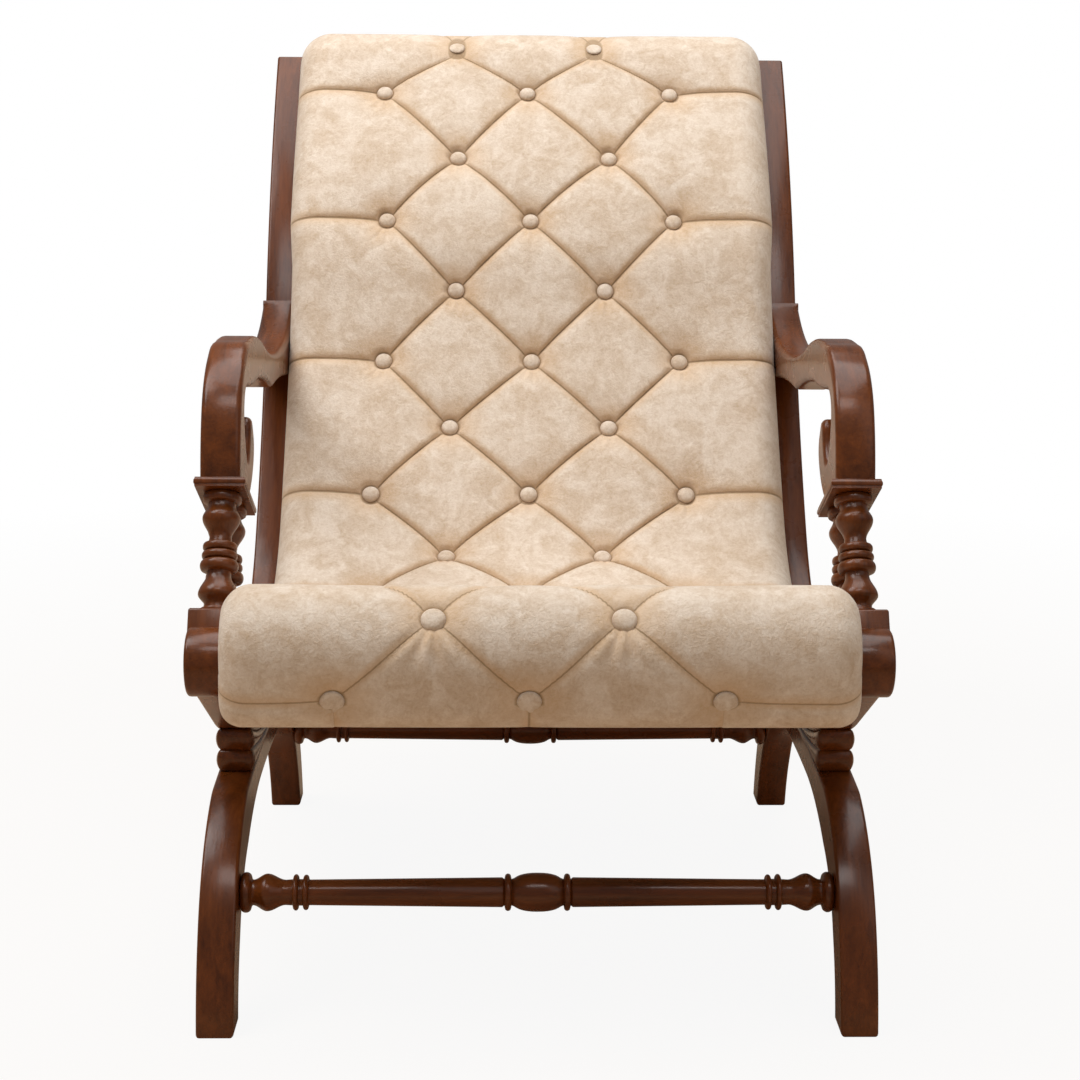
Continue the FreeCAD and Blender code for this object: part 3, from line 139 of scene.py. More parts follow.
# Turned profiles: height, radius and how far the line bulges on its way to the next entry, or
# "swell" where it runs there in a soft S.
SPINDLE = (
    (0.0, 15.2, 1.0), (5.0, 15.2, 0), (5.4, 12.4, 0), (8.0, 12.0, "swell"), (18.0, 18.4, "swell"),
    (36.5, 11.2, 0), (38.5, 11.4, 0), (39.0, 14.5, 3.4), (49.0, 14.5, 0), (49.3, 12.8, 0),
    (50.0, 14.0, 2.6), (57.0, 14.0, 0), (57.4, 12.6, 0), (58.0, 13.8, 2.2), (65.0, 13.8, 0),
    (65.4, 11.0, 0), (70.0, 10.3, "swell"), (88.0, 17.7, "swell"), (99.5, 13.2, 0), (102.0, 13.2, 0),
    (102.5, 16.6, 1.6), (110.6, 16.6, 0), (111.0, 16.0, 0),
)
STRETCHER = (
    (0.0, 18.3, 0), (5.0, 18.2, 0), (9.5, 17.8, 0), (13.5, 17.1, 0), (17.0, 16.1, 0),
    (20.0, 14.7, 0), (22.0, 13.4, 0), (24.6, 12.4, 0), (25.0, 14.5, 3.0), (31.0, 14.5, 0),
    (31.4, 12.4, 0), (33.5, 14.0, 0), (214.0, 12.0, 0), (215.5, 12.0, 0), (216.0, 13.4, 3.2),
    (221.2, 13.4, 0), (221.5, 12.4, 0), (225.2, 12.4, 0), (225.5, 13.6, 3.4), (230.7, 13.6, 0),
    (231.0, 12.2, 0), (237.5, 11.8, "swell"), (255.0, 17.6, "swell"), (268.5, 12.0, 0),
    (269.5, 13.0, 0), (270.0, 14.4, 4.6), (280.0, 14.4, 0),
)
STRETCHER_FORWARD = 252.0
STRETCHER_HEIGHT = 111.0

# The line that carries the pad, and the pad's thickness along it.
SUPPORT_INSET = 12.0
FRONT_RAIL_ALONG, FRONT_RAIL_SET, FRONT_RAIL_RADIUS = 20.0, 19.4, 22.0
CREST_RADIUS = 14.7
PAD_CLEAR = 0.5
PAD_HALF = 279.5
PAD_ROUND = 34.0
ROUND_STOPS = (0.0, 30.0)
ROUND_SHARE = 0.62
LINE_POINTS = 760
LIP_START, LIP_POINTS = 0.1, 10
FACE_POINTS, ROUND_POINTS, SIDE_POINTS, UNDER_POINTS = 300, 12, 5, 12
# The thicknesses are those at the start, at two shares of the way round the front rail, behind it,
# at the seat's end, the hollow's, the lumbar bow's and the shoulder's, halfway round the crest and
# at the end.
FRONT_SHARES = (0.20, 0.62)
THICKNESSES = (48.0, 44.0, 44.0, 33.0, 92.0, 106.0, 92.0, 61.0, 56.73, 14.0)
# The roll's full chin: how far it stands out, where along the line and over what stretch. Below it
# the lip rounds the pad's first edge.
CHIN, CHIN_AT, CHIN_WIDTH = 7.0, 7.0, 6.5
LIP, LIP_RUN = 8.0, 3.0
TUFT_PITCH = 167.0
ROW_RISE = 86.0
ROWS = 16
ROW_ANCHORS = (
    (0, 0.0093), (1, 0.0307), (7, 0.4087), (10, 0.6466), (13, 0.851), (14, 0.9250), (15, 0.9660),
)
# How far each row of tufts strays sideways, how wide it is spread and how deep it is drawn.
ROW_SWAY = (
    -10.5, -11.0, -10.0, -10.0, -10.0, -9.0, -9.0, -10.0, -5.0, -4.0, -1.0, -2.0, -2.0, 2.0, -5.0, -7.0,
)
ROW_SPREAD = (
    1.03, 1.0, 1.0, 1.0, 1.0, 1.0, 1.0, 1.015, 1.045, 1.07, 1.01, 1.03, 1.0, 1.07, 1.03, 1.0,
)
ROW_DEPTH = (
    0.36, 0.62, 0.9, 1.0, 1.0, 1.0, 1.0, 1.0, 1.0, 1.0, 1.0, 1.0, 1.0, 1.0, 0.9, 0.28,
)
# The mean depth of the face that the rows are spaced on, and the places tried between two anchors.
ROW_LEVEL = 14.0
ROW_TRIES = 1200
# The pleats' folds, as shares of the way from pleat to pleat, and how they run out beside the outer
# buttons: over which share of a column, and how much shallower at its end.
FOLD_SHARES = (0.014, 0.034)
BROAD_SHARE = 0.46
OUTER_SHARE = 0.6
OUTER_FADE_SHARE = 0.35
# The buttons. The roll's are wider, and the first and the last row lie flatter.
BUTTON_SIDES, DOME_RINGS = 24, 6
BUTTON_RISE = 4.5
BUTTON_RIM = ((0.97, -1.5), (0.8, -2.5))
BUTTON_LIFT = 1.4
FACE_SPAN = 3.0
ROLL_ROWS, ROLL_WIDER, FLAT_BUTTON = 2, 1.18, 0.45
# The pit round a button: its level seat, and the gathers below it, deeper on the roll.
SEAT_RADIUS = 8.6
SEAT_FADE = 3.5
PIT_WIDTH = 27.0
GATHERS = 13
GATHER = 0.8
GATHER_AT = 20.0
GATHER_REACH = 10.0
GATHER_ROLL = 2.2
# How far the pad bulges past its own sides over the rails, and where: stretches of its line.
BULGE = 4.0
BULGE_RISE, BULGE_RUN = 14.0, 8.0
MARGIN_SHARE = 0.86
BULGE_STOPS = (0.0, 50.0, 72.0, 950.0, 1000.0, 1240.0, 1272.0)
BULGE_SHARES = (1.0, 1.0, 0.0, 0.0, 1.0, 1.0, 0.6)
# How far the plinths of the arm posts press in the pad's sides, and where.
PRESS = 6.0
PRESS_RISE = (34.0, 42.0)
PRESS_STOPS = (78.0, 87.0, 179.0, 188.0)

# The photograph's camera, with its place measured as the side frame's is.
CAMERA_PLACE = (-36.1, -2011.0, 839.2)
CAMERA_TURN = (-1.173, 12.396, 0.414)
LENS = 65.98
SENSOR = 36.0
CLIP = (0.05, 60.0)

# The studio, in metres: the floor's size, the distances and shares between which it turns white,
# the light of the surround, and the lamps with their aim, as name, place, power and size.
FLOOR_SIZE = 30.0
FLOOR_DROP = 0.0002
FLOOR_COLOUR = (0.62, 0.46, 0.32, 1.0)
WHITE = (1.0, 1.0, 1.0, 1.0)
WHITE_FROM, WHITE_TO = (0.9, 0.92), (2.2, 1.0)
SKY = 0.24
LAMP_AIM = (0.0, 0.0, 0.45)
LAMPS = (
    ("Key lamp", (-1.8, -0.6, 3.0), 46.0, (1.6, 1.6)),
    ("Fill lamp", (1.9, -2.0, 2.1), 7.0, (2.0, 2.0)),
    ("Top lamp", (0.1, 0.2, 3.2), 66.0, (2.4, 2.4)),
    ("Gloss panel", (0.0, -1.9, 3.0), 20.0, (1.6, 0.6)),
)

# Slopes of the grain in degrees, and the one that stands for a grain along X.
LEG_GRAIN, RAIL_GRAIN, STILE_GRAIN, POST_GRAIN, ARM_GRAIN = 48.0, -20.0, 58.0, 60.0, 10.0
ALONG_X = 90.0

# How close two places or slopes have to be to count as one. The waist block sinks in as far.
NEAR = 0.05
NEAR_SLOPE = 1e-6


def millimetres(name, about, value):
    """A property that holds a length, given in millimetres."""
    return FloatProperty(name=name, description=about, default=value * METRE, min=0.0, unit="LENGTH")


def tint(name, about, colour):
    """A property that holds a colour."""
    return FloatVectorProperty(
        name=name, description=about, default=colour, min=0.0, max=1.0, subtype="COLOR")


class ChairSizes(bpy.types.PropertyGroup):
    """Sizes that change the look and leave the frame as it is."""

    rounding: millimetres("Edge rounding", "Radius along the edges of the wood", 3.2)
    arm_rounding: millimetres("Arm rounding", "Radius along the edges of the arms", 6.0)
    tuft_depth: millimetres("Button depth", "How far a button is drawn into the pad", 14.5)
    pleat_depth: millimetres("Pleat depth", "How far a pleat lies below the puffs beside it", 8.0)
    button_radius: millimetres("Button radius", "Radius of a covered button", 9.4)


class ChairColours(bpy.types.PropertyGroup):
    """Colours of the finishes."""

    wood: tint("Wood", "The lacquered teak where the light falls on it", (0.185, 0.048, 0.008))
    grain: tint("Grain", "The darker streaks and worn-in stain of the teak", (0.052, 0.012, 0.002))
    velvet: tint("Velvet", "The crushed velvet where its pile catches the light", (0.82, 0.70, 0.58))
    shade: tint("Velvet shade", "The crushed velvet where its pile lies away", (0.58, 0.42, 0.28))
    # Painted shade: mixed into the tufted velvet beside the pleats and in each button's pit, and a
    # darker share of it goes in the pleats' creases and round each button.
    painted_shade_tone: tint("Painted shade of the velvet", "The warmer velvet beside the pleats", (0.62, 0.38, 0.18))
    jute: tint("Webbing", "The plain webbing under the pad", (0.40, 0.30, 0.18))


def size(name):
    """One of the sizes, in millimetres."""
    return getattr(bpy.context.scene.chair_sizes, name) / METRE


def colours():
    """The colours of the finishes."""
    return bpy.context.scene.chair_colours


# Lines and outlines in the side view, as arrays of (y, z).


def walk(start, slope, steps, pace=2.0):
    """A line from a point: each step is (radius, new slope), or (None, length) where it is straight.

    An arc of signed radius R runs through R (sin a - sin a0, cos a0 - cos a), positive to the left.
    Returns the points, the slopes in degrees and the lengths along the line.
    """
    points, slopes = [np.array([start], float)], [np.array([slope], float)]
    for radius, goal in steps:
        here, turn = points[-1][-1], np.radians(slopes[-1][-1])
        if radius is None:
            along = np.linspace(0, goal, max(int(goal / pace), 1) + 1)[1:, None]
            points.append(here + along * np.array([np.cos(turn), np.sin(turn)]))
            slopes.append(np.full(len(along), slopes[-1][-1]))
        else:
            length = abs(np.radians(goal) - turn) * abs(radius)
            angle = np.linspace(turn, np.radians(goal), max(int(length / pace), 8) + 1)[1:]
            points.append(here + radius * np.column_stack(
                (np.sin(angle) - np.sin(turn), np.cos(turn) - np.cos(angle))))
            slopes.append(np.degrees(angle))
    points, slopes = np.concatenate(points), np.concatenate(slopes)
    lengths = np.concatenate(([0], np.cumsum(np.hypot(*np.diff(points, axis=0).T))))
    return points, slopes, lengths


def beside(points, slopes, distance):
    """The points moved to the left of their own heading."""
    turn = np.radians(slopes)
    return points + distance * np.column_stack((-np.sin(turn), np.cos(turn)))


def aside(point, slope, distance):
    """One point moved to the left of its own heading."""
    return beside(np.array([point]), np.array([slope]), distance)[0]


def ahead(point, slope, distance):
    """One point moved along its own heading."""
    turn = np.radians(slope)
    return np.array([point[0] + np.cos(turn) * distance, point[1] + np.sin(turn) * distance])


def bowed(corners, pace=2.5):
    """A closed outline from corners (y, z, bow), each edge an arc that bows left by a share of it.

    With half angle t = 2 atan(2 bow), a point at angle a between -t and t lies at
    (sin a / sin t) half chords along, and (cos a - cos t) / sin t half chords to the left.
    """
    line = []
    for (y, z, bow), (y_next, z_next, _) in zip(corners, corners[1:] + corners[:1]):
        start, end = np.array([y, z]), np.array([y_next, z_next])
        chord = end - start
        if not bow:
            line.append(start[None])
            continue
        half = 2 * np.arctan(2 * abs(bow))
        count = max(int(np.hypot(*chord) / pace), 6)
        angle = np.linspace(-half, half, count + 1)[:-1, None]
        left = np.array([-chord[1], chord[0]]) / 2
        rise = (np.cos(angle) - np.cos(half)) / np.sin(half) * np.sign(bow)
        line.append((start + end) / 2 + np.sin(angle) / np.sin(half) * chord / 2 + rise * left)
    return np.concatenate(line)


def evened(outline, pace, sharp=35.0, passes=2):
    """The outline with points at an even pace, softened except beside its sharp corners."""
    edges = np.roll(outline, -1, axis=0) - outline
    heading = np.degrees(np.arctan2(edges[:, 1], edges[:, 0]))
    turn = np.abs((heading - np.roll(heading, 1) + 180) % 360 - 180)
    corners = np.flatnonzero(turn > sharp)
    outline = np.roll(outline, -corners[0], axis=0)
    marks = list(corners - corners[0]) + [len(outline)]
    closed = np.vstack((outline, outline[:1]))
    pieces = []
    for first, last in zip(marks, marks[1:]):
        run = closed[first:last + 1]
        length = np.concatenate(([0], np.cumsum(np.hypot(*np.diff(run, axis=0).T))))
        spots = np.linspace(0, length[-1], max(int(length[-1] / pace), 1) + 1)
        run = np.column_stack([np.interp(spots, length, axis) for axis in run.T])
        for _ in range(passes if len(run) > 8 else 0):
            run[1:-1] = (run[:-2] + 2 * run[1:-1] + run[2:]) / 4
        pieces.append(run[:-1])
    return np.concatenate(pieces)


# Meshes. Below one sine of the turn at a corner the outline counts as straight there, and above
# another the corner holds its place.
STRAIGHT_SINE, CORNER_SINE = 0.25, 0.3
ROUND_STEPS = 5
FACE_RING = 1.2
LEAST_RADIUS = 0.05


def new_object(name, vertices, faces, material, smooth=True):
    """A mesh object at the origin, from places in millimetres, its name written with hyphens."""
    name = name.replace(" ", "-")
    mesh = bpy.data.meshes.new(name)
    mesh.from_pydata((np.asarray(vertices) * METRE).tolist(), [], faces)
    mesh.validate()
    mesh.materials.append(material)
    mesh.shade_smooth() if smooth else mesh.shade_flat()
    thing = bpy.data.objects.new(name, mesh)
    bpy.context.scene.collection.objects.link(thing)
    return thing


def grid_faces(rows, columns, first=0):
    """Quads of a grid whose rows are closed rings, as a list."""
    index = first + np.arange(rows * columns).reshape(rows, columns)
    after = np.roll(index, -1, axis=1)
    return np.stack((index[:-1], after[:-1], after[1:], index[1:]), axis=-1).reshape(-1, 4).tolist()


def closed_grid(name, rings, material, merged=False):
    """A closed surface from an array of rings of places, with a cap on its first and its last ring."""
    rows, columns = rings.shape[:2]
    faces = grid_faces(rows, columns)
    faces.append(list(range(columns))[::-1])
    faces.append(list(range((rows - 1) * columns, rows * columns)))
    return outward(new_object(name, rings.reshape(-1, 3), faces, material), merged)


def outward(thing, merged=False):
    """Turns the faces of a closed mesh to point outwards, once its doubled points are merged."""
    shape = bmesh.new()
    shape.from_mesh(thing.data)
    if merged:
        bmesh.ops.remove_doubles(shape, verts=shape.verts, dist=1e-6)
    bmesh.ops.recalc_face_normals(shape, faces=shape.faces)
    shape.to_mesh(thing.data)
    shape.free()
    return thing


def tilted(points, slope, origin):
    """Places in a piece's own axes turned about X by the slope and moved to the origin."""
    turn = np.radians(slope)
    x, y, z = np.moveaxis(points, -1, 0)
    return np.stack((x + origin[0], y * np.cos(turn) - z * np.sin(turn) + origin[1],
                     y * np.sin(turn) + z * np.cos(turn) + origin[2]), axis=-1)


def drawn_in(outline, distance, kept=()):
    """The outline moved inwards by a distance, with the edges of the kept corners left in place.

    At each corner the shift o solves o . n1 = -d1 and o . n2 = -d2 for the two edges' outward
    normals, and where these are nearly the same it is their mean.
    """
    edges = np.roll(outline, -1, axis=0) - outline
    normals = np.column_stack((edges[:, 1], -edges[:, 0])) / np.hypot(*edges.T)[:, None]
    moves = np.full(len(outline), float(distance))
    moves[list(kept)] = 0.0
    before, move_before = np.roll(normals, 1, axis=0), np.roll(moves, 1)
    cross = before[:, 0] * normals[:, 1] - before[:, 1] * normals[:, 0]
    mean = before + normals
    mean /= np.maximum(np.hypot(*mean.T), 1e-9)[:, None]
    level = mean * ((moves + move_before) / 2)[:, None]
    straight = np.abs(cross) < STRAIGHT_SINE
    safe = np.where(straight, 1.0, cross)
    mitre = np.column_stack(((move_before * normals[:, 1] - moves * before[:, 1]) / safe,
                             (moves * before[:, 0] - move_before * normals[:, 0]) / safe))
    return unfolded(outline - np.where(straight[:, None], level, mitre), edges, cross)


def unfolded(shape, edges, cross):
    """The drawn-in outline with the points that a corner has passed gathered at that corner."""
    count = len(shape)
    held = np.abs(cross) > CORNER_SINE
    while True:
        back = np.flatnonzero(np.sum((np.roll(shape, -1, axis=0) - shape) * edges, axis=1) < 0)
        pairs = [(here, (here + 1) % count) for here in back]
        pairs = [(here, after) for here, after in pairs if held[here] != held[after]]
        if not pairs:
            return shape
        for here, after in pairs:
            if held[here] and not held[after]:
                shape[after], held[after] = shape[here], True
            elif held[after] and not held[here]:
                shape[here], held[here] = shape[after], True


def member(name, outline, centre, thickness, rounding, material, kept=()):
    """A flat member cut to an outline in the side view, with quarter-round edges.

    At angle a of the rounding, the ring is drawn in by r (1 - cos a) and lies r (1 - sin a)
    inside the face, and one more ring keeps the flat face flat.
    """
    after = np.roll(outline, -1, axis=0)
    if np.sum(outline[:, 0] * after[:, 1] - after[:, 0] * outline[:, 1]) < 0:
        count = len(outline)
        outline = outline[::-1]
        kept = [(count - 2 - corner) % count for corner in kept]
    angles = np.radians(np.linspace(0, 90, ROUND_STEPS))
    insets = np.concatenate((rounding * (1 - np.cos(angles)), [rounding + FACE_RING]))
    places = np.concatenate((thickness / 2 - rounding * (1 - np.sin(angles)), [thickness / 2]))
    rings = []
    for inset, place in zip(insets, places):
        shape = drawn_in(outline, inset, kept)
        rings.append(np.column_stack((np.full(len(shape), place), shape)))
    half = np.array(rings)
    stack = np.concatenate((half[::-1] * [-1, 1, 1], half)) + [centre, ARCH, 0]
    return closed_grid(name, stack, material, merged=True)


BEND_POINTS = 14


def turned_line(entries):
    """Heights and radii of a turned profile from its entries.

    A bulge b adds b sqrt(1 - u^2) with u from -1 to 1, and a swell follows half a cosine.
    """
    heights, radii = [], []
    for (low, start, shape), (high, end, _) in zip(entries, entries[1:]):
        count = 2 if shape == 0 else BEND_POINTS
        share = np.linspace(0, 1, count)[:-1]
        if shape == "swell":
            radius = start + (end - start) * (1 - np.cos(np.pi * share)) / 2
        else:
            radius = start + (end - start) * share + shape * np.sqrt(1 - (2 * share - 1) ** 2)
        heights.append(low + (high - low) * share)
        radii.append(radius)
    heights.append([entries[-1][0]])
    radii.append([entries[-1][1]])
    return np.concatenate(heights), np.concatenate(radii)


def turned(name, heights, radii, place, material, sides=56):
    """A turned piece: (r cos a, r sin a, h) over the profile and one turn, closed at both ends."""
    angle = np.linspace(0, 2 * np.pi, sides, endpoint=False)
    ring = np.stack((radii[:, None] * np.cos(angle), radii[:, None] * np.sin(angle),
                     np.broadcast_to(heights[:, None], (len(heights), sides))), axis=-1)
    return closed_grid(name, place(ring), material)


def rounded_corners(half, corner, radius):
    """The four corners of a rectangle in turn: a centre, set in by a length, plus r (cos a, sin a)."""
    turn = np.radians(90 * np.arange(4)[:, None] + np.linspace(0, 90, ROUND_STEPS))
    centres = np.array(((1, 1), (-1, 1), (-1, -1), (1, -1))) * (np.array(half) - corner)
    return centres[:, None] + radius * np.stack((np.cos(turn), np.sin(turn)), axis=-1)


def moulded(name, half, profile, corner, place, material):
    """A moulding run round a rectangle: each entry (out, height) of its profile makes one ring.

    The ring's corners keep their centres, and their radius is the corner's own plus the way out.
    """
    out, height = np.array(profile, float).T
    radius = np.maximum(corner + out, LEAST_RADIUS)[:, None, None, None]
    flat = rounded_corners(half, corner, radius).reshape(len(out), -1, 2)
    height = np.broadcast_to(height[:, None, None], (*flat.shape[:2], 1))
    return closed_grid(name, place(np.concatenate((flat, height), axis=-1)), material)


def creased(thing, degrees=38.0):
    """Sharp edges where faces meet at more than an angle, so that mouldings keep their lines."""
    thing.data.set_sharp_from_angle(angle=np.radians(degrees))
    return thing


def dressed(thing, slot, *nodes):
    """Hands a finished piece to the frame: its body and its nodes. The slot is not used."""
    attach(thing, "root")
    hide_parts(*nodes)
    return thing


# The upper edge of the seat rail and stile, and the pad's own line and thickness.
EDGE_START = aside(RAIL_START, SEAT_SLOPE, DEPTH / 2)
LINE_PACE = 0.5


def edge_line():
    """The upper edge: points, slopes and lengths from the rounded nose to the top of the stile."""
    steps = ((None, SEAT_RUN), HOLLOW, LUMBAR, (SHOULDER[0], TOP_SLOPE))
    return walk(EDGE_START, SEAT_SLOPE, steps)


def joint_place():
    """The index of the edge's point where the rail ends and the stile starts."""
    return int(np.argmax(edge_line()[1] >= JOINT_SLOPE - NEAR_SLOPE))


def on_edge(along, up):
    """The point at a length along the seat rail's upper edge and square up from it."""
    return aside(ahead(EDGE_START, SEAT_SLOPE, along), SEAT_SLOPE, up)


def post_place(across, along, up):
    """Moves a piece's own places to the slope of the seat rail at the arm post."""
    y, z = on_edge(along, up)
    return lambda points: tilted(points, SEAT_SLOPE, (across, y + ARCH, z))


def support_line():
    """The line under the pad: round the front rail, down the seat, up the back and over the crest.

    The straight run between the rail's circle r and the hollow's circle R touches both: over the
    span s of their centres it is sqrt(s^2 - (r + R)^2) long and turned by asin((r + R) / s).
    Returns the line, and its length at the end of each step.
    """
    centre = on_edge(FRONT_RAIL_ALONG, -FRONT_RAIL_SET)
    radius, inner = FRONT_RAIL_RADIUS, HOLLOW[0] + SUPPORT_INSET
    gap = on_edge(SEAT_RUN, HOLLOW[0]) - centre
    span = np.hypot(*gap)
    fall = np.degrees(np.arctan2(gap[1], gap[0]) - np.arcsin((radius + inner) / span))
    run = np.sqrt(span ** 2 - (radius + inner) ** 2)
    heading = 180 + SEAT_SLOPE
    begin = aside(centre, heading, radius)
    steps = ((-radius, fall), (None, run), (inner, HOLLOW[1]), (LUMBAR[0] + SUPPORT_INSET, LUMBAR[1]),
             (SHOULDER[0] + SUPPORT_INSET, SHOULDER[1]), (-CREST_RADIUS, SHOULDER[1] - 180))
    lines = [walk(begin, heading, steps[:upto + 1], LINE_PACE) for upto in range(len(steps))]
    return lines[-1], [line[2][-1] for line in lines]


class PadShape:
    """The tufted pad as a function of the length along its line and the place across."""

    def __init__(self):
        (self.points, self.slopes, self.lengths), marks = support_line()
        wrap, seat, hollow, lumbar, shoulder, self.end = marks
        front, rear = np.array(FRONT_SHARES) * wrap, (shoulder + self.end) / 2
        self.stops = np.array([0, *front, wrap, seat, hollow, lumbar, shoulder, rear, self.end])
        self.levels = np.array(THICKNESSES)
        self.rows = self.row_places()

    def row_places(self):
        """Places of the rows of buttons, even on the pad's face between the anchors.

        Where the line bends by k, a face at height h travels 1 - h k times as far as the line.
        """
        rows = []
        for (low, begin), (high, finish) in zip(ROW_ANCHORS, ROW_ANCHORS[1:]):
            spots = np.linspace(begin * self.end, finish * self.end, ROW_TRIES)
            bend = np.gradient(np.radians(np.interp(spots, self.lengths, self.slopes)), spots)
            face = 1 - (self.crown(spots) - ROW_LEVEL) * bend
            travelled = np.concatenate(([0], np.cumsum((face[1:] + face[:-1]) / 2 * np.diff(spots))))
            even = np.linspace(0, travelled[-1], high - low + 1)
            rows.append(np.interp(even, travelled, spots)[:-1])
        return np.append(np.concatenate(rows), ROW_ANCHORS[-1][1] * self.end)

    def crown(self, place):
        """The crown's height over the line, eased between the stops by 3 t^2 - 2 t^3.

        The roll's chin adds exp(-u^2), and a quarter circle takes the lip off the first edge.
        """
        step = np.clip(np.searchsorted(self.stops, place, side="right") - 1, 0, len(self.stops) - 2)
        share = (place - self.stops[step]) / (self.stops[step + 1] - self.stops[step])
        share = np.clip(share, 0, 1)
        ease = share ** 2 * (3 - 2 * share)
        level = self.levels[step] + (self.levels[step + 1] - self.levels[step]) * ease
        lip = LIP * (1 - np.sqrt(1 - np.clip(1 - place / LIP_RUN, 0, 1) ** 2))
        return level + CHIN * np.exp(-((place - CHIN_AT) / CHIN_WIDTH) ** 2) - lip

    def row(self, place):
        """The place counted in rows of buttons, running on past the first and the last."""
        count = np.interp(place, self.rows, np.arange(ROWS))
        count = np.where(place < self.rows[0], place / self.rows[0] - 1, count)
        after = (place - self.rows[-1]) / (self.end - self.rows[-1])
        return np.where(place > self.rows[-1], ROWS - 1 + after, count)

    def strength(self, place):
        """How deep the tufting is drawn, down to nothing at the two ends."""
        front = place / self.rows[0]
        rear = (self.end - place) / (self.end - self.rows[-1])
        return np.interp(place, self.rows, ROW_DEPTH) * np.clip(np.minimum(front, rear), 0, 1)

    @staticmethod
    def puff(place, sense):
        """A puff's rise between two pleats, at a place counted in pleats.

        Half of it is a broad bulge sqrt(1 - (1 - 2 d)^2) and the rest rises beside the pleat as
        1 - exp(-d / w), steeper on the side where the cloth folds down over the pleat.
        """
        away = place - np.round(place)
        width = np.where(away * sense > 0, *FOLD_SHARES)
        near = np.abs(away)
        broad, steep = np.sqrt(1 - (1 - 2 * near) ** 2), 1 - np.exp(-near / width)
        return BROAD_SHARE * broad + (1 - BROAD_SHARE) * steep

    def tufts(self, across, place):
        """The column, the row, the two counts that are whole on a pleat, and the way to a button.

        Pleats run where columns plus or minus half the rows is whole. Past the outer buttons only
        the straight pleats of every other row go on, and before the first row each button's own
        pleat runs down.
        """
        pitch = TUFT_PITCH * np.interp(place, self.rows, ROW_SPREAD)
        column = (across - np.interp(place, self.rows, ROW_SWAY)) / pitch
        column, row = np.broadcast_arrays(column, self.row(place))
        inner = np.clip(column, -1, 1)
        below = (row < 0) & (np.abs(column) <= 1)
        one = np.where(below, column, inner + row / 2)
        other = np.where(below, column, inner - row / 2)
        near_column = (np.round(one) + np.round(other)) / 2
        near_row = np.round(one) - np.round(other)
        near_row = np.where(near_row > ROWS - 1, -ROWS, near_row)
        right, along = (column - near_column) * TUFT_PITCH, (row - near_row) * ROW_RISE
        return column, row, one, other, right, along

    def dip(self, across, place):
        """How far the face lies below its crown.

        A button's pit falls off as exp(-(r/w)^2), with gathers below it, which are cosines of the
        angle round it, and a level seat in it.
        """
        column, row, one, other, right, along = self.tufts(across, place)
        far = np.clip((np.abs(column) - 1) / OUTER_SHARE, 0, 1)
        puff = self.puff(one, 1) * self.puff(other, -1)
        puff = np.where(np.abs(column) > 1, self.puff(row / 2, 1) ** (2 - far), puff)
        away, angle = np.hypot(right, along), np.arctan2(along, right)
        pit = np.exp(-(away / PIT_WIDTH) ** 2)
        seat = np.exp(-(np.maximum(away - SEAT_RADIUS, 0) / SEAT_FADE) ** 2)
        second_row = np.round(row - along / ROW_RISE) == 1
        on_roll = np.where(second_row, GATHER_ROLL, 1.0)
        reach = np.exp(-((away - GATHER_AT * on_roll ** 0.5) / (GATHER_REACH * on_roll)) ** 2)
        gather = GATHER * on_roll * np.clip(-np.sin(angle), 0, 1) ** 2 * np.cos(GATHERS * angle) * reach
        pleat, button = size("pleat_depth"), size("tuft_depth")
        fall = pleat * (1 - OUTER_FADE_SHARE * far) * (1 - puff) + (button - pleat) * pit
        return (fall * (1 - seat) + button * seat) * self.strength(place) + gather * (1 - seat)

    def at(self, across, place, up):
        """Points at places across, along the line and up from it."""
        turn = np.radians(np.interp(place, self.lengths, self.slopes))
        y = np.interp(place, self.lengths, self.points[:, 0]) - np.sin(turn) * up + ARCH
        z = np.interp(place, self.lengths, self.points[:, 1]) + np.cos(turn) * up
        return np.stack(np.broadcast_arrays(across, y, z), axis=-1)

    def ring(self, place):
        """Places across and up round the pad's section, one row for each place along the line.

        The face runs level between two quarter rounds (r sin a, r (1 - cos a)), is lowered by its
        dip, and goes on down the side, along the underside and up the other side.
        """
        place = place[:, None]
        crown = self.crown(place)
        rounding = np.interp(place, ROUND_STOPS, (0.5, 1.0)) * PAD_ROUND
        rounding = np.minimum(rounding, crown * ROUND_SHARE)
        level = np.zeros((len(place), FACE_POINTS))
        turn = np.radians(np.linspace(0, 90, ROUND_POINTS))[1:]
        right = PAD_HALF - rounding + rounding * np.sin(turn)
        drop = rounding * (1 - np.cos(turn))
        face = np.linspace(-1, 1, FACE_POINTS) * (PAD_HALF - PAD_ROUND)
        across = np.concatenate((-right[:, ::-1], level + face, right), axis=1)
        drop = np.concatenate((drop[:, ::-1], level, drop), axis=1)
        up = crown - drop - self.dip(across, place) * np.clip(1 - drop / rounding, 0, 1)
        share = np.linspace(0, 1, SIDE_POINTS + 1)[1:]
        side = up[:, -1:] + (PAD_CLEAR - up[:, -1:]) * share
        half = np.full_like(side, PAD_HALF)
        under = np.linspace(1, -1, UNDER_POINTS + 2)[1:-1] * np.full_like(place, PAD_HALF)
        across = np.concatenate((across, half, under, -half), axis=1)
        up = np.concatenate((up, side, np.full_like(under, PAD_CLEAR), side[:, ::-1]), axis=1)
        return self.sided(across, up, place), up

    @staticmethod
    def sided(across, up, place):
        """The sides moved out where they bulge over the rails, and in where the plinths press."""
        margin = (np.abs(across) / PAD_HALF - MARGIN_SHARE) / (1 - MARGIN_SHARE)
        margin = np.clip(margin, 0, 1) ** 2
        bulge = np.interp(place, BULGE_STOPS, BULGE_SHARES)
        bulge = bulge * np.clip((up - BULGE_RISE) / BULGE_RUN, 0, 1)
        press = np.interp(place, PRESS_STOPS, (0, 1, 1, 0)) * np.interp(up, PRESS_RISE, (1, 0))
        return across + np.sign(across) * margin * (BULGE * bulge - PRESS * press)


# Materials.


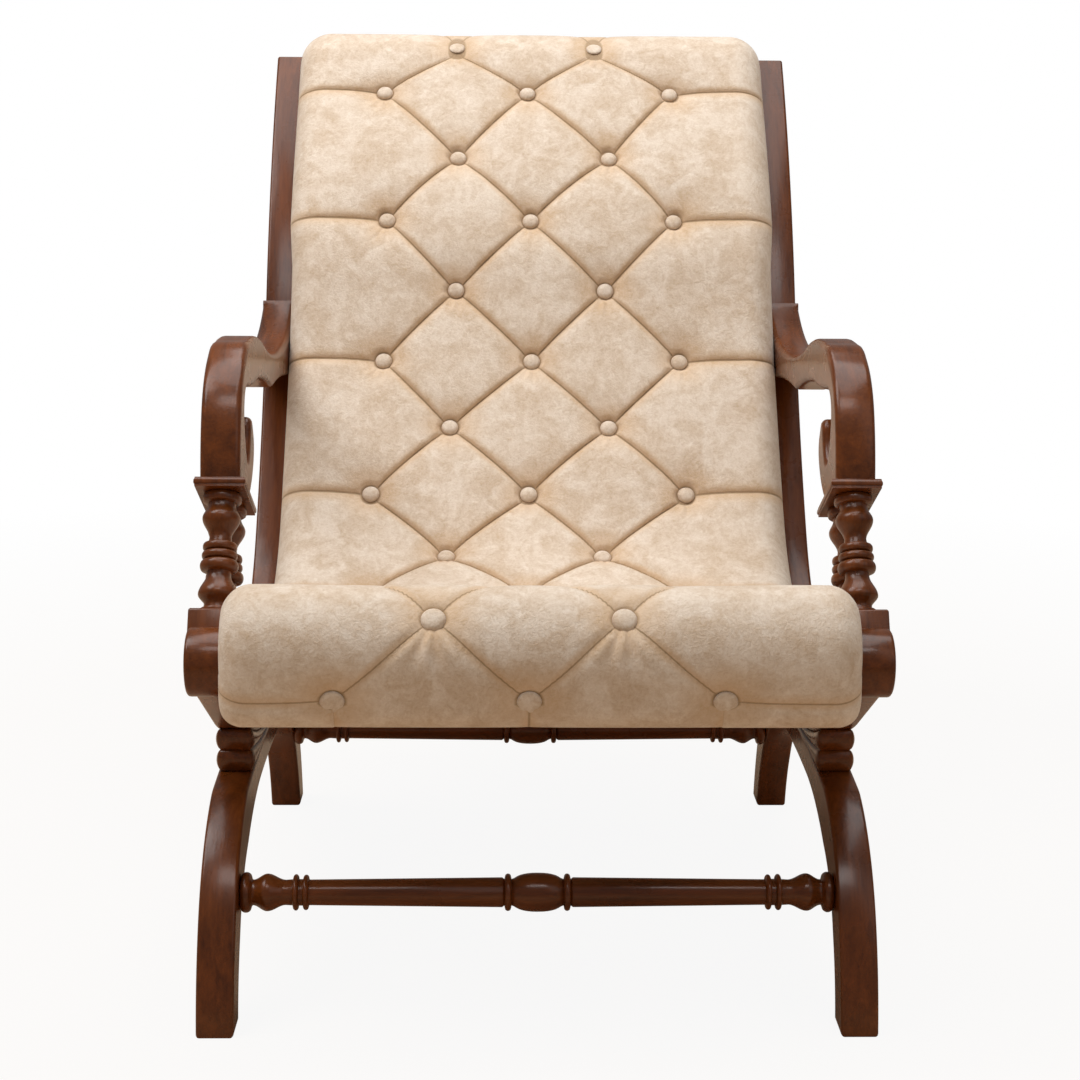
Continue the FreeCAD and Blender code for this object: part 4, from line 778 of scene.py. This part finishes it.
class Value:
    """A socket of a node tree with the usual operators, each of which adds a Math node."""

    def __init__(self, tree, socket):
        self.tree, self.socket = tree, socket

    def __add__(self, other):
        return self.tree.math("ADD", self, other)

    def __radd__(self, other):
        return self.tree.math("ADD", other, self)

    def __sub__(self, other):
        return self.tree.math("SUBTRACT", self, other)

    def __rsub__(self, other):
        return self.tree.math("SUBTRACT", other, self)

    def __mul__(self, other):
        return self.tree.math("MULTIPLY", self, other)

    def __rmul__(self, other):
        return self.tree.math("MULTIPLY", other, self)


class Finish:
    """The node tree of a material or a world, with one method that adds any node."""

    def __init__(self, owner, shader="Principled BSDF"):
        owner.use_nodes = True
        self.owner = owner
        self.nodes, self.links = owner.node_tree.nodes, owner.node_tree.links
        self.shader = self.nodes[shader]

    def add(self, kind, settings=None, inputs=None, output=0):
        """Adds a node, sets its settings, then its inputs, and returns the named output."""
        node = self.nodes.new(kind)
        for key, value in (settings or {}).items():
            if key == "stops":
                ramp = node.color_ramp
                for place, (spot, colour) in enumerate(value):
                    stop = ramp.elements[place] if place < 2 else ramp.elements.new(spot)
                    stop.position, stop.color = spot, colour
            else:
                setattr(node, key, value)
        self.feed(node, inputs or {})
        return Value(self, node.outputs[output])

    def feed(self, node, inputs):
        """Gives a node's sockets their values or links."""
        for key, value in inputs.items():
            if isinstance(value, Value):
                self.links.new(value.socket, node.inputs[key])
            else:
                node.inputs[key].default_value = value

    def place(self, stretch=(1, 1, 1), slope=0.0):
        """Object coordinates, stretched along axes that are turned about X by the slope."""
        spot = self.add("ShaderNodeTexCoord", output="Object")
        return self.add("ShaderNodeMapping", {"vector_type": "TEXTURE"}, {
            "Vector": spot, "Rotation": (np.radians(slope), 0, 0), "Scale": stretch})

    def noise(self, where, scale, detail=3.0, roughness=0.55, distortion=0.0):
        """Noise at the given places."""
        return self.add("ShaderNodeTexNoise", {}, {
            "Vector": where, "Scale": scale, "Detail": detail, "Roughness": roughness,
            "Distortion": distortion})

    def ramp(self, factor, low, high):
        """Black up to one value of the factor and white from another."""
        stops = (low, (0, 0, 0, 1)), (high, (1, 1, 1, 1))
        return self.add("ShaderNodeValToRGB", {"stops": stops}, {0: factor})

    def mix(self, factor, first, second):
        """Two colours mixed by a factor."""
        return self.add("ShaderNodeMix", {"data_type": "RGBA"}, {0: factor, 6: first, 7: second}, 2)

    def math(self, operation, first, second):
        """A Math node on two values."""
        return self.add("ShaderNodeMath", {"operation": operation}, {0: first, 1: second})

    def between(self, value, first, last, kind="LINEAR"):
        """A value mapped so that each (from, to) pair is met, and held beyond them."""
        return self.add("ShaderNodeMapRange", {"interpolation_type": kind}, {
            "Value": value, "From Min": first[0], "From Max": last[0],
            "To Min": first[1], "To Max": last[1]})

    def fade(self, value, start, end):
        """One up to the start, easing to nothing at the end."""
        return self.between(value, (start, 1.0), (end, 0.0), "SMOOTHSTEP")

    def bump(self, height, strength, distance):
        """Normals of a surface with small heights on it."""
        return self.add("ShaderNodeBump", {}, {
            "Height": height, "Strength": strength, "Distance": distance})

    def finish(self, **inputs):
        """Feeds the shader, whose sockets are named with _ for a space, and returns the owner."""
        self.feed(self.shader, {key.replace("_", " "): value for key, value in inputs.items()})
        return self.owner


def rgba(colour, share=1.0):
    """A colour, or a share of it, with full alpha."""
    return (*(part * share for part in colour), 1.0)


def teak(name, slope):
    """Brown lacquered teak: streaks along the slope of the member, or along X, and a satin coat."""
    tree = Finish(bpy.data.materials.new(name))
    along = tree.place((11, 1, 1)) if slope == ALONG_X else tree.place((1, 11, 1), slope)
    streaks = tree.ramp(tree.noise(along, 95.0, 5.0, 0.62, 0.5), 0.36, 0.66)
    fine = tree.ramp(tree.noise(along, 420.0, 3.0), 0.40, 0.70)
    stain = tree.ramp(tree.noise(tree.place(), 7.0, 2.0), 0.35, 0.70)
    mask = streaks * 0.45 + fine * 0.20 + stain * 0.35
    colour = tree.mix(mask, rgba(colours().wood), rgba(colours().grain))
    rough = 0.24 + tree.noise(tree.place(), 30.0, 3.0) * 0.08
    return tree.finish(
        Base_Color=colour, Roughness=rough, Specular_IOR_Level=0.20, Coat_Weight=0.26,
        Coat_Roughness=0.16, Normal=tree.bump(fine, 0.10, 0.0006))


def velvet(name, tufted):
    """Cream crushed velvet: patches where the pile lies over, with a fine nap.

    On the tufted pad the attribute tufts holds the two counts that are whole on a pleat and the way
    to the next button in millimetres: they place painted shade in the pleats' creases, an amber
    painted shade beside the pleats and in each button's pit, and a dark painted shade ring round
    each button where it sinks into the pad.
    """
    tree = Finish(bpy.data.materials.new(name))
    spot = tree.place()
    patches = tree.ramp(tree.noise(spot, 30.0, 8.0, 0.72, 0.5), 0.41, 0.59)
    flecks = tree.ramp(tree.noise(spot, 140.0, 5.0, 0.72, 0.8), 0.38, 0.62)
    specks = tree.ramp(tree.noise(spot, 420.0, 3.0, 0.6, 0.4), 0.42, 0.62)
    mask = patches * 0.50 + flecks * 0.32 + specks * 0.18
    colour = tree.mix(mask, rgba(colours().velvet), rgba(colours().shade))
    height = flecks * 0.55 + specks * 0.45
    if tufted:
        read = tree.add("ShaderNodeAttribute", {"attribute_name": "tufts"}, output="Vector")
        parts = tree.add("ShaderNodeSeparateXYZ", {}, {0: read}).socket.node.outputs
        one, other, away = (Value(tree, socket) for socket in parts)
        one, other = tree.math("PINGPONG", one, 0.5), tree.math("PINGPONG", other, 0.5)
        off = tree.math("MINIMUM", one, other)
        # Painted shade: dark lines in the pleats' creases, an amber shade beside the pleats and in each
        # button's pit, and a dark ring round each button where it sinks in.
        line, pleat_and_pit_shade = tree.fade(off, 0.002, 0.010), tree.fade(off, 0.0, 0.085)
        crease_and_rim_shade = tree.math("MAXIMUM", line, tree.fade(away, 9.6, 12.2))
        pleat_and_pit_shade = tree.math("MAXIMUM", pleat_and_pit_shade * 0.55, tree.fade(away, 9.0, 44.0) * 0.5)
        colour = tree.mix(pleat_and_pit_shade, colour, rgba(colours().painted_shade_tone))
        colour = tree.mix(crease_and_rim_shade * 0.68, colour, rgba(colours().painted_shade_tone, 0.48))
        height = height - line * 0.9
    return tree.finish(
        Base_Color=colour, Roughness=0.85, Sheen_Weight=0.30, Sheen_Roughness=0.45,
        Sheen_Tint=(1.0, 0.96, 0.90, 1.0), Normal=tree.bump(height, 0.45, 0.0010))


def plain_webbing(name):
    """Jute webbing: a plain dull weave."""
    tree = Finish(bpy.data.materials.new(name))
    weave = tree.noise(tree.place(), 300.0, 2.0)
    colour = tree.mix(weave, rgba(colours().jute), rgba(colours().jute, 0.6))
    return tree.finish(Base_Color=colour, Roughness=0.9)


def finish_named(kind, slope=0.0):
    """A finish by name, made the first time it is asked for."""
    name = f"Teak {slope:.0f}" if kind == "Teak" else kind
    known = bpy.data.materials.get(name)
    if known:
        return known
    if kind == "Teak":
        return teak(name, slope)
    return plain_webbing(name) if kind == "Webbing" else velvet(name, kind == "Tufted velvet")


# The pieces.


def joint_edges(here):
    """The corners on a joint whose edge to the next corner lies on it too."""
    return np.flatnonzero(here & np.roll(here, -1))


def on_line(points, start, end):
    """Which points lie on the line from one point to another."""
    along = (end - start) / np.hypot(*(end - start))
    off = (points - start) @ np.array([-along[1], along[0]])
    reach = (points - start) @ along
    return (np.abs(off) < NEAR) & (reach > -NEAR) & (reach < np.hypot(*(end - start)) + NEAR)


def make_legs(side, way):
    """The two legs of an arch, whose crown joint is left sharp.

    The crown's edge is an arc of radius R on a chord c: with sin t = c / 2 R, it bows by a share
    (1 - cos t) / (2 sin t) of its chord.
    """
    (y, z, _), (y_next, z_next, _) = LEG[CROWN_EDGE:CROWN_EDGE + 2]
    half = np.arcsin(np.hypot(y_next - y, z_next - z) / 2 / CROWN_RADIUS)
    corners = list(LEG)
    corners[CROWN_EDGE] = (y, z, (1 - np.cos(half)) / np.sin(half) / 2)
    outline = evened(bowed(corners), LEG_PACE)
    for end, flip in (("front", 1), ("rear", -1)):
        shape = outline * [flip, 1]
        kept = joint_edges(np.abs(shape[:, 0]) < NEAR)
        wood = finish_named("Teak", LEG_GRAIN * flip)
        leg = member(
            f"{side} {end} leg", shape, ACROSS * way, THICKNESS, size("rounding"), wood, kept)
        dressed(creased(leg), "wood", f"{side}_{end}_leg")


def make_rail_and_stile(side, way):
    """The seat rail with its round nose, and the back stile: strips along the edge line.

    The stile's end bulges by D h (1 - h) at a share h of its depth D.
    """
    points, slopes, lengths = edge_line()
    low = beside(points, slopes, -DEPTH)
    joint = joint_place()
    line = points[joint], low[joint]
    before = np.arange(len(points)) <= joint
    below = np.arcsin((DEPTH - NOSE_RADIUS) / NOSE_RADIUS)
    turn = np.radians(np.linspace(SEAT_SLOPE - np.degrees(below), SEAT_SLOPE - 270, NOSE_POINTS))
    nose = NOSE_RADIUS * np.column_stack((np.cos(turn), np.sin(turn)))
    nose += on_edge(NOSE_SET, -NOSE_RADIUS)
    above = before & (lengths > NOSE_SET + NOSE_CLEAR)
    under = before & (lengths > NOSE_SET + NOSE_RADIUS * np.cos(below) + NOSE_CLEAR)
    rail = np.concatenate((points[above], low[under][::-1], nose))
    share = np.linspace(0, 1, CREST_POINTS + 2)[1:-1, None]
    crest = points[-1] + (low[-1] - points[-1]) * share
    crest += DEPTH * share * (1 - share) * ahead((0, 0), TOP_SLOPE, 1)
    stile = np.concatenate((points[joint:], crest, low[joint:][::-1]))
    for name, shape, slope in (("seat_rail", rail, RAIL_GRAIN), ("back_stile", stile, STILE_GRAIN)):
        kept = joint_edges(on_line(shape, *line))
        wood = finish_named("Teak", slope)
        called = f"{side} {name}".replace("_", " ")
        piece = member(called, shape, ACROSS * way, THICKNESS, size("rounding"), wood, kept)
        dressed(creased(piece), "wood", f"{side}_{name}")


def make_waist(side, way):
    """The block between legs and rail: two half-round beads run round a rectangle.

    At a share h of the height they stand out by a power of |sin 2 pi h|. The block's lower end
    follows the arch's crown, an arc, and its upper end the underside of the rail.
    """
    low, high = node_box(f"{side}_waist_block")
    middle, half = (low + high) / 2, (high - low)[:2] / 2 - WAIST_BEAD
    corners = rounded_corners(half, WAIST_CORNER, WAIST_CORNER)
    run = np.linspace(1, -1, WAIST_SIDE + 2)[1:-1] * half[1]
    edge = np.column_stack((np.full(WAIST_SIDE, -half[0]), run))
    flat = np.concatenate((*corners[:2], edge, *corners[2:], -edge))
    plain = np.abs(flat) < half - WAIST_CORNER + NEAR
    away = np.where(plain, 0, np.sign(flat))
    away = away / np.maximum(np.hypot(*away.T), 1)[:, None]
    share = np.linspace(0, 1, WAIST_RINGS)[:, None]
    bead = WAIST_BEAD * np.abs(np.sin(2 * np.pi * share)) ** BEAD_POWER
    x, y = np.moveaxis(flat + away * bead[..., None], -1, 0) + middle[:2, None, None]
    bottom = CROWN_TOP - CROWN_RADIUS + np.sqrt(CROWN_RADIUS ** 2 - (y - ARCH) ** 2) - NEAR
    points, slopes, _ = edge_line()
    under = beside(points, slopes, -DEPTH)
    under = under[np.argsort(under[:, 0])]
    top = np.interp(y - ARCH, *under.T) + NEAR
    rings = np.stack((x, y, bottom + (top - bottom) * share), axis=-1)
    block = closed_grid(f"{side} waist block", rings, finish_named("Teak"))
    dressed(creased(block), "wood", f"{side}_waist_block")


def make_post(side, way):
    """The arm post: plinth, twin spindles and moulded cap, square to the seat rail.

    The plinth's upper edge is a quarter round. The cap starts with a cove, a quarter of an ellipse
    through (1 - cos a, sin a).
    """
    across, wood = ACROSS * way, finish_named("Teak", POST_GRAIN)
    turn = np.radians(np.linspace(0, 90, ROUND_STEPS))
    edge = PLINTH_EDGE * (np.column_stack((np.cos(turn), np.sin(turn))) - 1) + [0, PLINTH_HEIGHT]
    place = post_place(across, POST_ALONG, 0)
    plinth = moulded(f"{side} plinth", PLINTH_HALF, [(0, 0), *edge], PLINTH_CORNER, place, wood)
    dressed(creased(plinth), "wood", f"{side}_arm_plinth")
    heights, radii = turned_line(SPINDLE)
    heights *= SPINDLE_HEIGHT / SPINDLE[-1][0]
    for name, offset in (("front", -0.5), ("rear", 0.5)):
        place = post_place(across, POST_ALONG + offset * SPINDLE_SPACING, PLINTH_HEIGHT)
        spindle = turned(f"{side} {name} spindle", heights, radii, place, wood)
        dressed(creased(spindle), "wood", f"{side}_{name}_spindle")
    cove = COVE_START + np.column_stack((1 - np.cos(turn), np.sin(turn))) * COVE_SPAN
    profile = [(COVE_START[0], 0), *cove, *CAP_UPPER]
    place = post_place(across, POST_ALONG, PLINTH_HEIGHT + SPINDLE_HEIGHT)
    cap = moulded(f"{side} arm cap", CAP_HALF, profile, CAP_CORNER, place, wood)
    dressed(creased(cap), "wood", f"{side}_arm_cap")


def make_arm(side, way):
    """The scrolled arm, from its foot on the cap to the front of the stile."""
    points, slopes, _ = edge_line()
    base = PLINTH_HEIGHT + SPINDLE_HEIGHT + CAP_HEIGHT
    front, rear = (on_edge(POST_ALONG + end * ARM_FOOT / 2, base) for end in (-1, 1))
    upper = int(np.argmax(slopes >= LUMBAR[1] - NEAR_SLOPE))
    tail_slope = LUMBAR[1] - np.degrees(ARM_TAIL / LUMBAR[0])
    behind = np.arange(len(slopes)) > joint_place()
    lower = int(np.argmax((slopes >= tail_slope) & behind))
    tail = beside(points[lower:upper + 1], slopes[lower:upper + 1], ARM_GAP)[::-1]
    run, rise = tail[0] - front

    def spots(entries):
        """Corners at shares of the arm's run and rise. Its outline runs clockwise, so bows turn."""
        return [(front[0] + run * along, front[1] + rise * up, -bow) for along, up, bow in entries]

    corners = [(*front, FOOT_BOW), *spots(ARM_TOP), *((*point, 0.0) for point in tail[:-1])]
    corners += [(*tail[-1], TAIL_BOW), *spots(ARM_UNDER), (*rear, 0.0)]
    outline = evened(bowed(corners), ARM_PACE, ARM_SHARP, ARM_PASSES)
    away = np.hypot(*(outline[:, None] - tail).transpose(2, 0, 1)).min(axis=1)
    kept = np.concatenate((joint_edges(on_line(outline, front, rear)), joint_edges(away < TAIL_REACH)))
    across, thickness = (ACROSS + ARM_EXTRA / 2) * way, THICKNESS + ARM_EXTRA
    wood = finish_named("Teak", ARM_GRAIN)
    arm = member(f"{side} arm", outline, across, thickness, size("arm_rounding"), wood, kept)
    dressed(creased(arm), "wood", f"{side}_arm")


def lying_place(forward):
    """Lays a turned piece along X across the two side frames."""
    middle = np.array([0, forward + ARCH, STRETCHER_HEIGHT])
    return lambda points: np.roll(points, 1, axis=-1) + middle


def make_stretchers():
    """The two turned stretchers along X."""
    heights, radii = turned_line(STRETCHER)
    heights = np.concatenate((-heights[:0:-1], heights))
    radii = np.concatenate((radii[:0:-1], radii))
    wood = finish_named("Teak", ALONG_X)
    for name, way in (("front", -1), ("rear", 1)):
        place = lying_place(STRETCHER_FORWARD * way)
        piece = turned(f"{name} stretcher", heights, radii, place, wood)
        dressed(creased(piece), "wood", f"{name}_stretcher")


def make_pad():
    """The whole tufted pad: rings of its section along the line, closed at both ends.

    Each vertex carries its two counts of pleats and its way to the next button, which place the
    velvet's painted shade in the pleats and round the buttons.
    """
    shape = PadShape()
    lip = LIP_RUN * (1 - np.cos(np.linspace(LIP_START, np.pi / 2, LIP_POINTS)))
    places = np.concatenate((lip, np.linspace(LIP_RUN, shape.end - NEAR, LINE_POINTS)[1:]))
    across, up = shape.ring(places)
    points = shape.at(across, places[:, None], up)
    pad = closed_grid("Tufted pad", points, finish_named("Tufted velvet"))
    _, row, one, other, right, along = shape.tufts(across, places[:, None])
    wider = np.where(row - along / ROW_RISE < ROLL_ROWS - 0.5, ROLL_WIDER, 1.0)
    tufts = np.stack((one, other, np.hypot(right, along) / wider), axis=-1)
    tufts[:, -(SIDE_POINTS + UNDER_POINTS):-SIDE_POINTS] = (0.5, 0.5, TUFT_PITCH)
    attribute = pad.data.attributes.new("tufts", "FLOAT_VECTOR", "POINT")
    attribute.data.foreach_set("vector", tufts.ravel())
    dressed(pad, "fabric", "seat_pad", "back_pad")


def button_shape():
    """One button's vertices and faces: a dome r cos a, r sin a, h sqrt(1 - (r/R)^2) with a rim."""
    spread = np.linspace(0, 1, DOME_RINGS + 1)[1:]
    out, fall = np.transpose(BUTTON_RIM)
    radii = size("button_radius") * np.concatenate((spread, out))[:, None]
    heights = np.concatenate((np.sqrt(1 - spread ** 2) * BUTTON_RISE, fall))[:, None]
    turn = np.linspace(0, 2 * np.pi, BUTTON_SIDES, endpoint=False)
    heights = np.broadcast_to(heights, (len(radii), BUTTON_SIDES))
    rings = np.stack((radii * np.cos(turn), radii * np.sin(turn), heights), axis=-1)
    vertices = np.vstack(([0, 0, BUTTON_RISE], rings.reshape(-1, 3)))
    faces = [(0, 1 + side, 1 + (side + 1) % BUTTON_SIDES) for side in range(BUTTON_SIDES)]
    faces += grid_faces(len(radii), BUTTON_SIDES, 1)
    faces.append(list(range(len(vertices) - BUTTON_SIDES, len(vertices))))
    return vertices, faces


def make_buttons():
    """The covered buttons, seated in the pad's pits and square to the pad's face."""
    shape = PadShape()
    local, sides = button_shape()
    vertices, faces = [], []
    for number, place in enumerate(shape.rows):
        columns = (-0.5, 0.5) if number % 2 else (-1.0, 0.0, 1.0)
        wide = ROLL_WIDER if number < ROLL_ROWS else 1.0
        tall = FLAT_BUTTON if number in (0, ROWS - 1) else 1.0
        near = place + np.array([-FACE_SPAN, FACE_SPAN])
        (_, y, z), (_, y_next, z_next) = shape.at(0, near, shape.crown(near))
        slope = np.degrees(np.arctan2(z_next - z, y_next - y))
        for column in columns:
            across = column * TUFT_PITCH * ROW_SPREAD[number] + ROW_SWAY[number]
            dip = float(shape.dip(np.array(across), np.array(place)))
            up = shape.crown(place) - dip + BUTTON_LIFT * tall
            first = len(vertices) * len(local)
            vertices.append(tilted(local * [wide, wide, tall], slope, shape.at(across, place, up)))
            faces += [[first + corner for corner in side] for side in sides]
    buttons = new_object("Tuft buttons", np.concatenate(vertices), faces, finish_named("Velvet"))
    dressed(outward(buttons), "fabric", "tuft_buttons")


def finish_nodes():
    """Finishes for the nodes of the frame that stay in view."""
    kinds = {"wood": ("Teak", ALONG_X), "fabric": ("Velvet",), "webbing": ("Webbing",)}
    for entry in frame["record"]["subparts"]:
        node = frame["nodes"][entry["node"]]
        node.data.materials.clear()
        node.data.materials.append(finish_named(*kinds[entry["material_slot"]]))


def make_floor():
    """The floor, which turns to plain white for the camera away from the chair."""
    tree = Finish(bpy.data.materials.new("Studio floor"))
    tree.finish(Base_Color=FLOOR_COLOUR, Roughness=0.9, Specular_IOR_Level=0.0)
    seen = tree.add("ShaderNodeLightPath", output="Is Camera Ray")
    glow = tree.add("ShaderNodeEmission", {}, {"Color": WHITE, "Strength": 1.0})
    distance = tree.add("ShaderNodeVectorMath", {"operation": "LENGTH"}, {0: tree.place()}, 1)
    blend = tree.add("ShaderNodeMixShader", {}, {
        0: seen * tree.between(distance, WHITE_FROM, WHITE_TO),
        1: Value(tree, tree.shader.outputs[0]), 2: glow})
    tree.feed(tree.nodes["Material Output"], {"Surface": blend})
    corners = np.array([(-1, -1, 0), (1, -1, 0), (1, 1, 0), (-1, 1, 0)]) * FLOOR_SIZE
    corners = (corners - [0, 0, FLOOR_DROP]) / METRE
    floor = new_object("Studio floor", corners, [(0, 1, 2, 3)], tree.owner, smooth=False)


def make_sky(scene):
    """An even white surround, which gives less light than the camera sees of it."""
    scene.world = bpy.data.worlds.new("Studio")
    tree = Finish(scene.world, "Background")
    seen = tree.add("ShaderNodeLightPath", output="Is Camera Ray")
    through = tree.add("ShaderNodeLightPath", output="Is Transmission Ray")
    tree.finish(Color=WHITE, Strength=tree.math("MAXIMUM", seen, through) * (1 - SKY) + SKY)


def make_stage():
    """White floor and surround, soft lamps, and the photograph's camera."""
    scene = bpy.context.scene
    scene.view_settings.view_transform = "Standard"
    make_floor()
    make_sky(scene)
    for name, place, power, span in LAMPS:
        data = bpy.data.lights.new(name, "AREA")
        data.shape, data.energy = "RECTANGLE", power
        data.size, data.size_y = span
        lamp = bpy.data.objects.new(name, data)
        lamp.visible_diffuse = name != "Gloss panel"
        lamp.location = place
        aim = Vector(LAMP_AIM) - Vector(place)
        lamp.rotation_euler = aim.to_track_quat("-Z", "Y").to_euler()
        scene.collection.objects.link(lamp)
    make_camera(scene)


def make_camera(scene):
    """The camera from its place and its yaw, pitch and roll."""
    yaw, pitch, roll = np.radians(CAMERA_TURN)
    flat = np.cos(pitch)
    forward = np.array([-np.sin(yaw) * flat, np.cos(yaw) * flat, -np.sin(pitch)])
    level = np.array([np.cos(yaw), np.sin(yaw), 0.0])
    upright = np.cross(level, forward)
    right = level * np.cos(roll) + upright * np.sin(roll)
    up = upright * np.cos(roll) - level * np.sin(roll)
    data = bpy.data.cameras.new("Camera")
    data.lens, data.sensor_width, data.sensor_fit = LENS, SENSOR, "HORIZONTAL"
    data.clip_start, data.clip_end = CLIP
    camera = bpy.data.objects.new("Camera", data)
    place = (np.array(CAMERA_PLACE) + [0, ARCH, 0]) * METRE
    turn = Matrix(np.column_stack((right, up, -forward)).tolist())
    camera.matrix_world = Matrix.Translation(Vector(place)) @ turn.to_4x4()
    scene.collection.objects.link(camera)
    scene.camera = camera


def both_sides(maker):
    """Calls a maker for the left and the right side frame."""
    for side, way in SIDES:
        maker(side, way)


# Blender's side: operators, a panel and their registration.


class CHAIR_OT_nodes(bpy.types.Operator):
    """Finishes the nodes that stay in view under and behind the pad"""

    bl_idname = "chair.nodes"
    bl_label = "Hidden frame"
    bl_options = {"REGISTER", "UNDO"}

    def execute(self, context):
        finish_nodes()
        return {"FINISHED"}


class CHAIR_OT_legs(bpy.types.Operator):
    """Builds the arched legs of both side frames"""

    bl_idname = "chair.legs"
    bl_label = "Legs"
    bl_options = {"REGISTER", "UNDO"}

    def execute(self, context):
        both_sides(make_legs)
        return {"FINISHED"}


class CHAIR_OT_rails(bpy.types.Operator):
    """Builds the seat rails and back stiles"""

    bl_idname = "chair.rails"
    bl_label = "Rails and stiles"
    bl_options = {"REGISTER", "UNDO"}

    def execute(self, context):
        both_sides(make_rail_and_stile)
        return {"FINISHED"}


class CHAIR_OT_waists(bpy.types.Operator):
    """Builds the beaded blocks between legs and rails"""

    bl_idname = "chair.waists"
    bl_label = "Waist blocks"
    bl_options = {"REGISTER", "UNDO"}

    def execute(self, context):
        both_sides(make_waist)
        return {"FINISHED"}


class CHAIR_OT_posts(bpy.types.Operator):
    """Builds the arm posts: plinths, turned spindles and caps"""

    bl_idname = "chair.posts"
    bl_label = "Arm posts"
    bl_options = {"REGISTER", "UNDO"}

    def execute(self, context):
        both_sides(make_post)
        return {"FINISHED"}


class CHAIR_OT_arms(bpy.types.Operator):
    """Builds the scrolled arms"""

    bl_idname = "chair.arms"
    bl_label = "Arms"
    bl_options = {"REGISTER", "UNDO"}

    def execute(self, context):
        both_sides(make_arm)
        return {"FINISHED"}


class CHAIR_OT_stretchers(bpy.types.Operator):
    """Builds the turned stretchers"""

    bl_idname = "chair.stretchers"
    bl_label = "Stretchers"
    bl_options = {"REGISTER", "UNDO"}

    def execute(self, context):
        make_stretchers()
        return {"FINISHED"}


class CHAIR_OT_pad(bpy.types.Operator):
    """Builds the tufted pad"""

    bl_idname = "chair.pad"
    bl_label = "Pad"
    bl_options = {"REGISTER", "UNDO"}

    def execute(self, context):
        make_pad()
        return {"FINISHED"}


class CHAIR_OT_buttons(bpy.types.Operator):
    """Builds the covered buttons"""

    bl_idname = "chair.buttons"
    bl_label = "Buttons"
    bl_options = {"REGISTER", "UNDO"}

    def execute(self, context):
        make_buttons()
        return {"FINISHED"}


class CHAIR_OT_stage(bpy.types.Operator):
    """Builds the floor, the lamps and the camera"""

    bl_idname = "chair.stage"
    bl_label = "Stage"
    bl_options = {"REGISTER", "UNDO"}

    def execute(self, context):
        make_stage()
        return {"FINISHED"}


OPERATORS = (
    CHAIR_OT_nodes, CHAIR_OT_legs, CHAIR_OT_rails, CHAIR_OT_waists, CHAIR_OT_posts, CHAIR_OT_arms,
    CHAIR_OT_stretchers, CHAIR_OT_pad, CHAIR_OT_buttons, CHAIR_OT_stage,
)


class CHAIR_PT_panel(bpy.types.Panel):
    """The chair's sizes, colours and operators in the sidebar"""

    bl_idname = "CHAIR_PT_panel"
    bl_label = "Easy chair"
    bl_space_type = "VIEW_3D"
    bl_region_type = "UI"
    bl_category = "Easy chair"

    def draw(self, context):
        for group in (context.scene.chair_sizes, context.scene.chair_colours):
            box = self.layout.box()
            for name in group.__annotations__:
                box.prop(group, name)
        for operator in OPERATORS:
            self.layout.operator(operator.bl_idname)


CLASSES = (ChairSizes, ChairColours, *OPERATORS, CHAIR_PT_panel)


def register():
    for kind in CLASSES:
        bpy.utils.register_class(kind)
    bpy.types.Scene.chair_sizes = PointerProperty(type=ChairSizes)
    bpy.types.Scene.chair_colours = PointerProperty(type=ChairColours)


def unregister():
    del bpy.types.Scene.chair_colours
    del bpy.types.Scene.chair_sizes
    for kind in reversed(CLASSES):
        bpy.utils.unregister_class(kind)


def main():
    """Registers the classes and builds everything."""
    register()
    bpy.ops.chair.nodes()
    bpy.ops.chair.legs()
    bpy.ops.chair.rails()
    bpy.ops.chair.waists()
    bpy.ops.chair.posts()
    bpy.ops.chair.arms()
    bpy.ops.chair.stretchers()
    bpy.ops.chair.pad()
    bpy.ops.chair.buttons()
    bpy.ops.chair.stage()


if __name__ == "__main__":
    main()
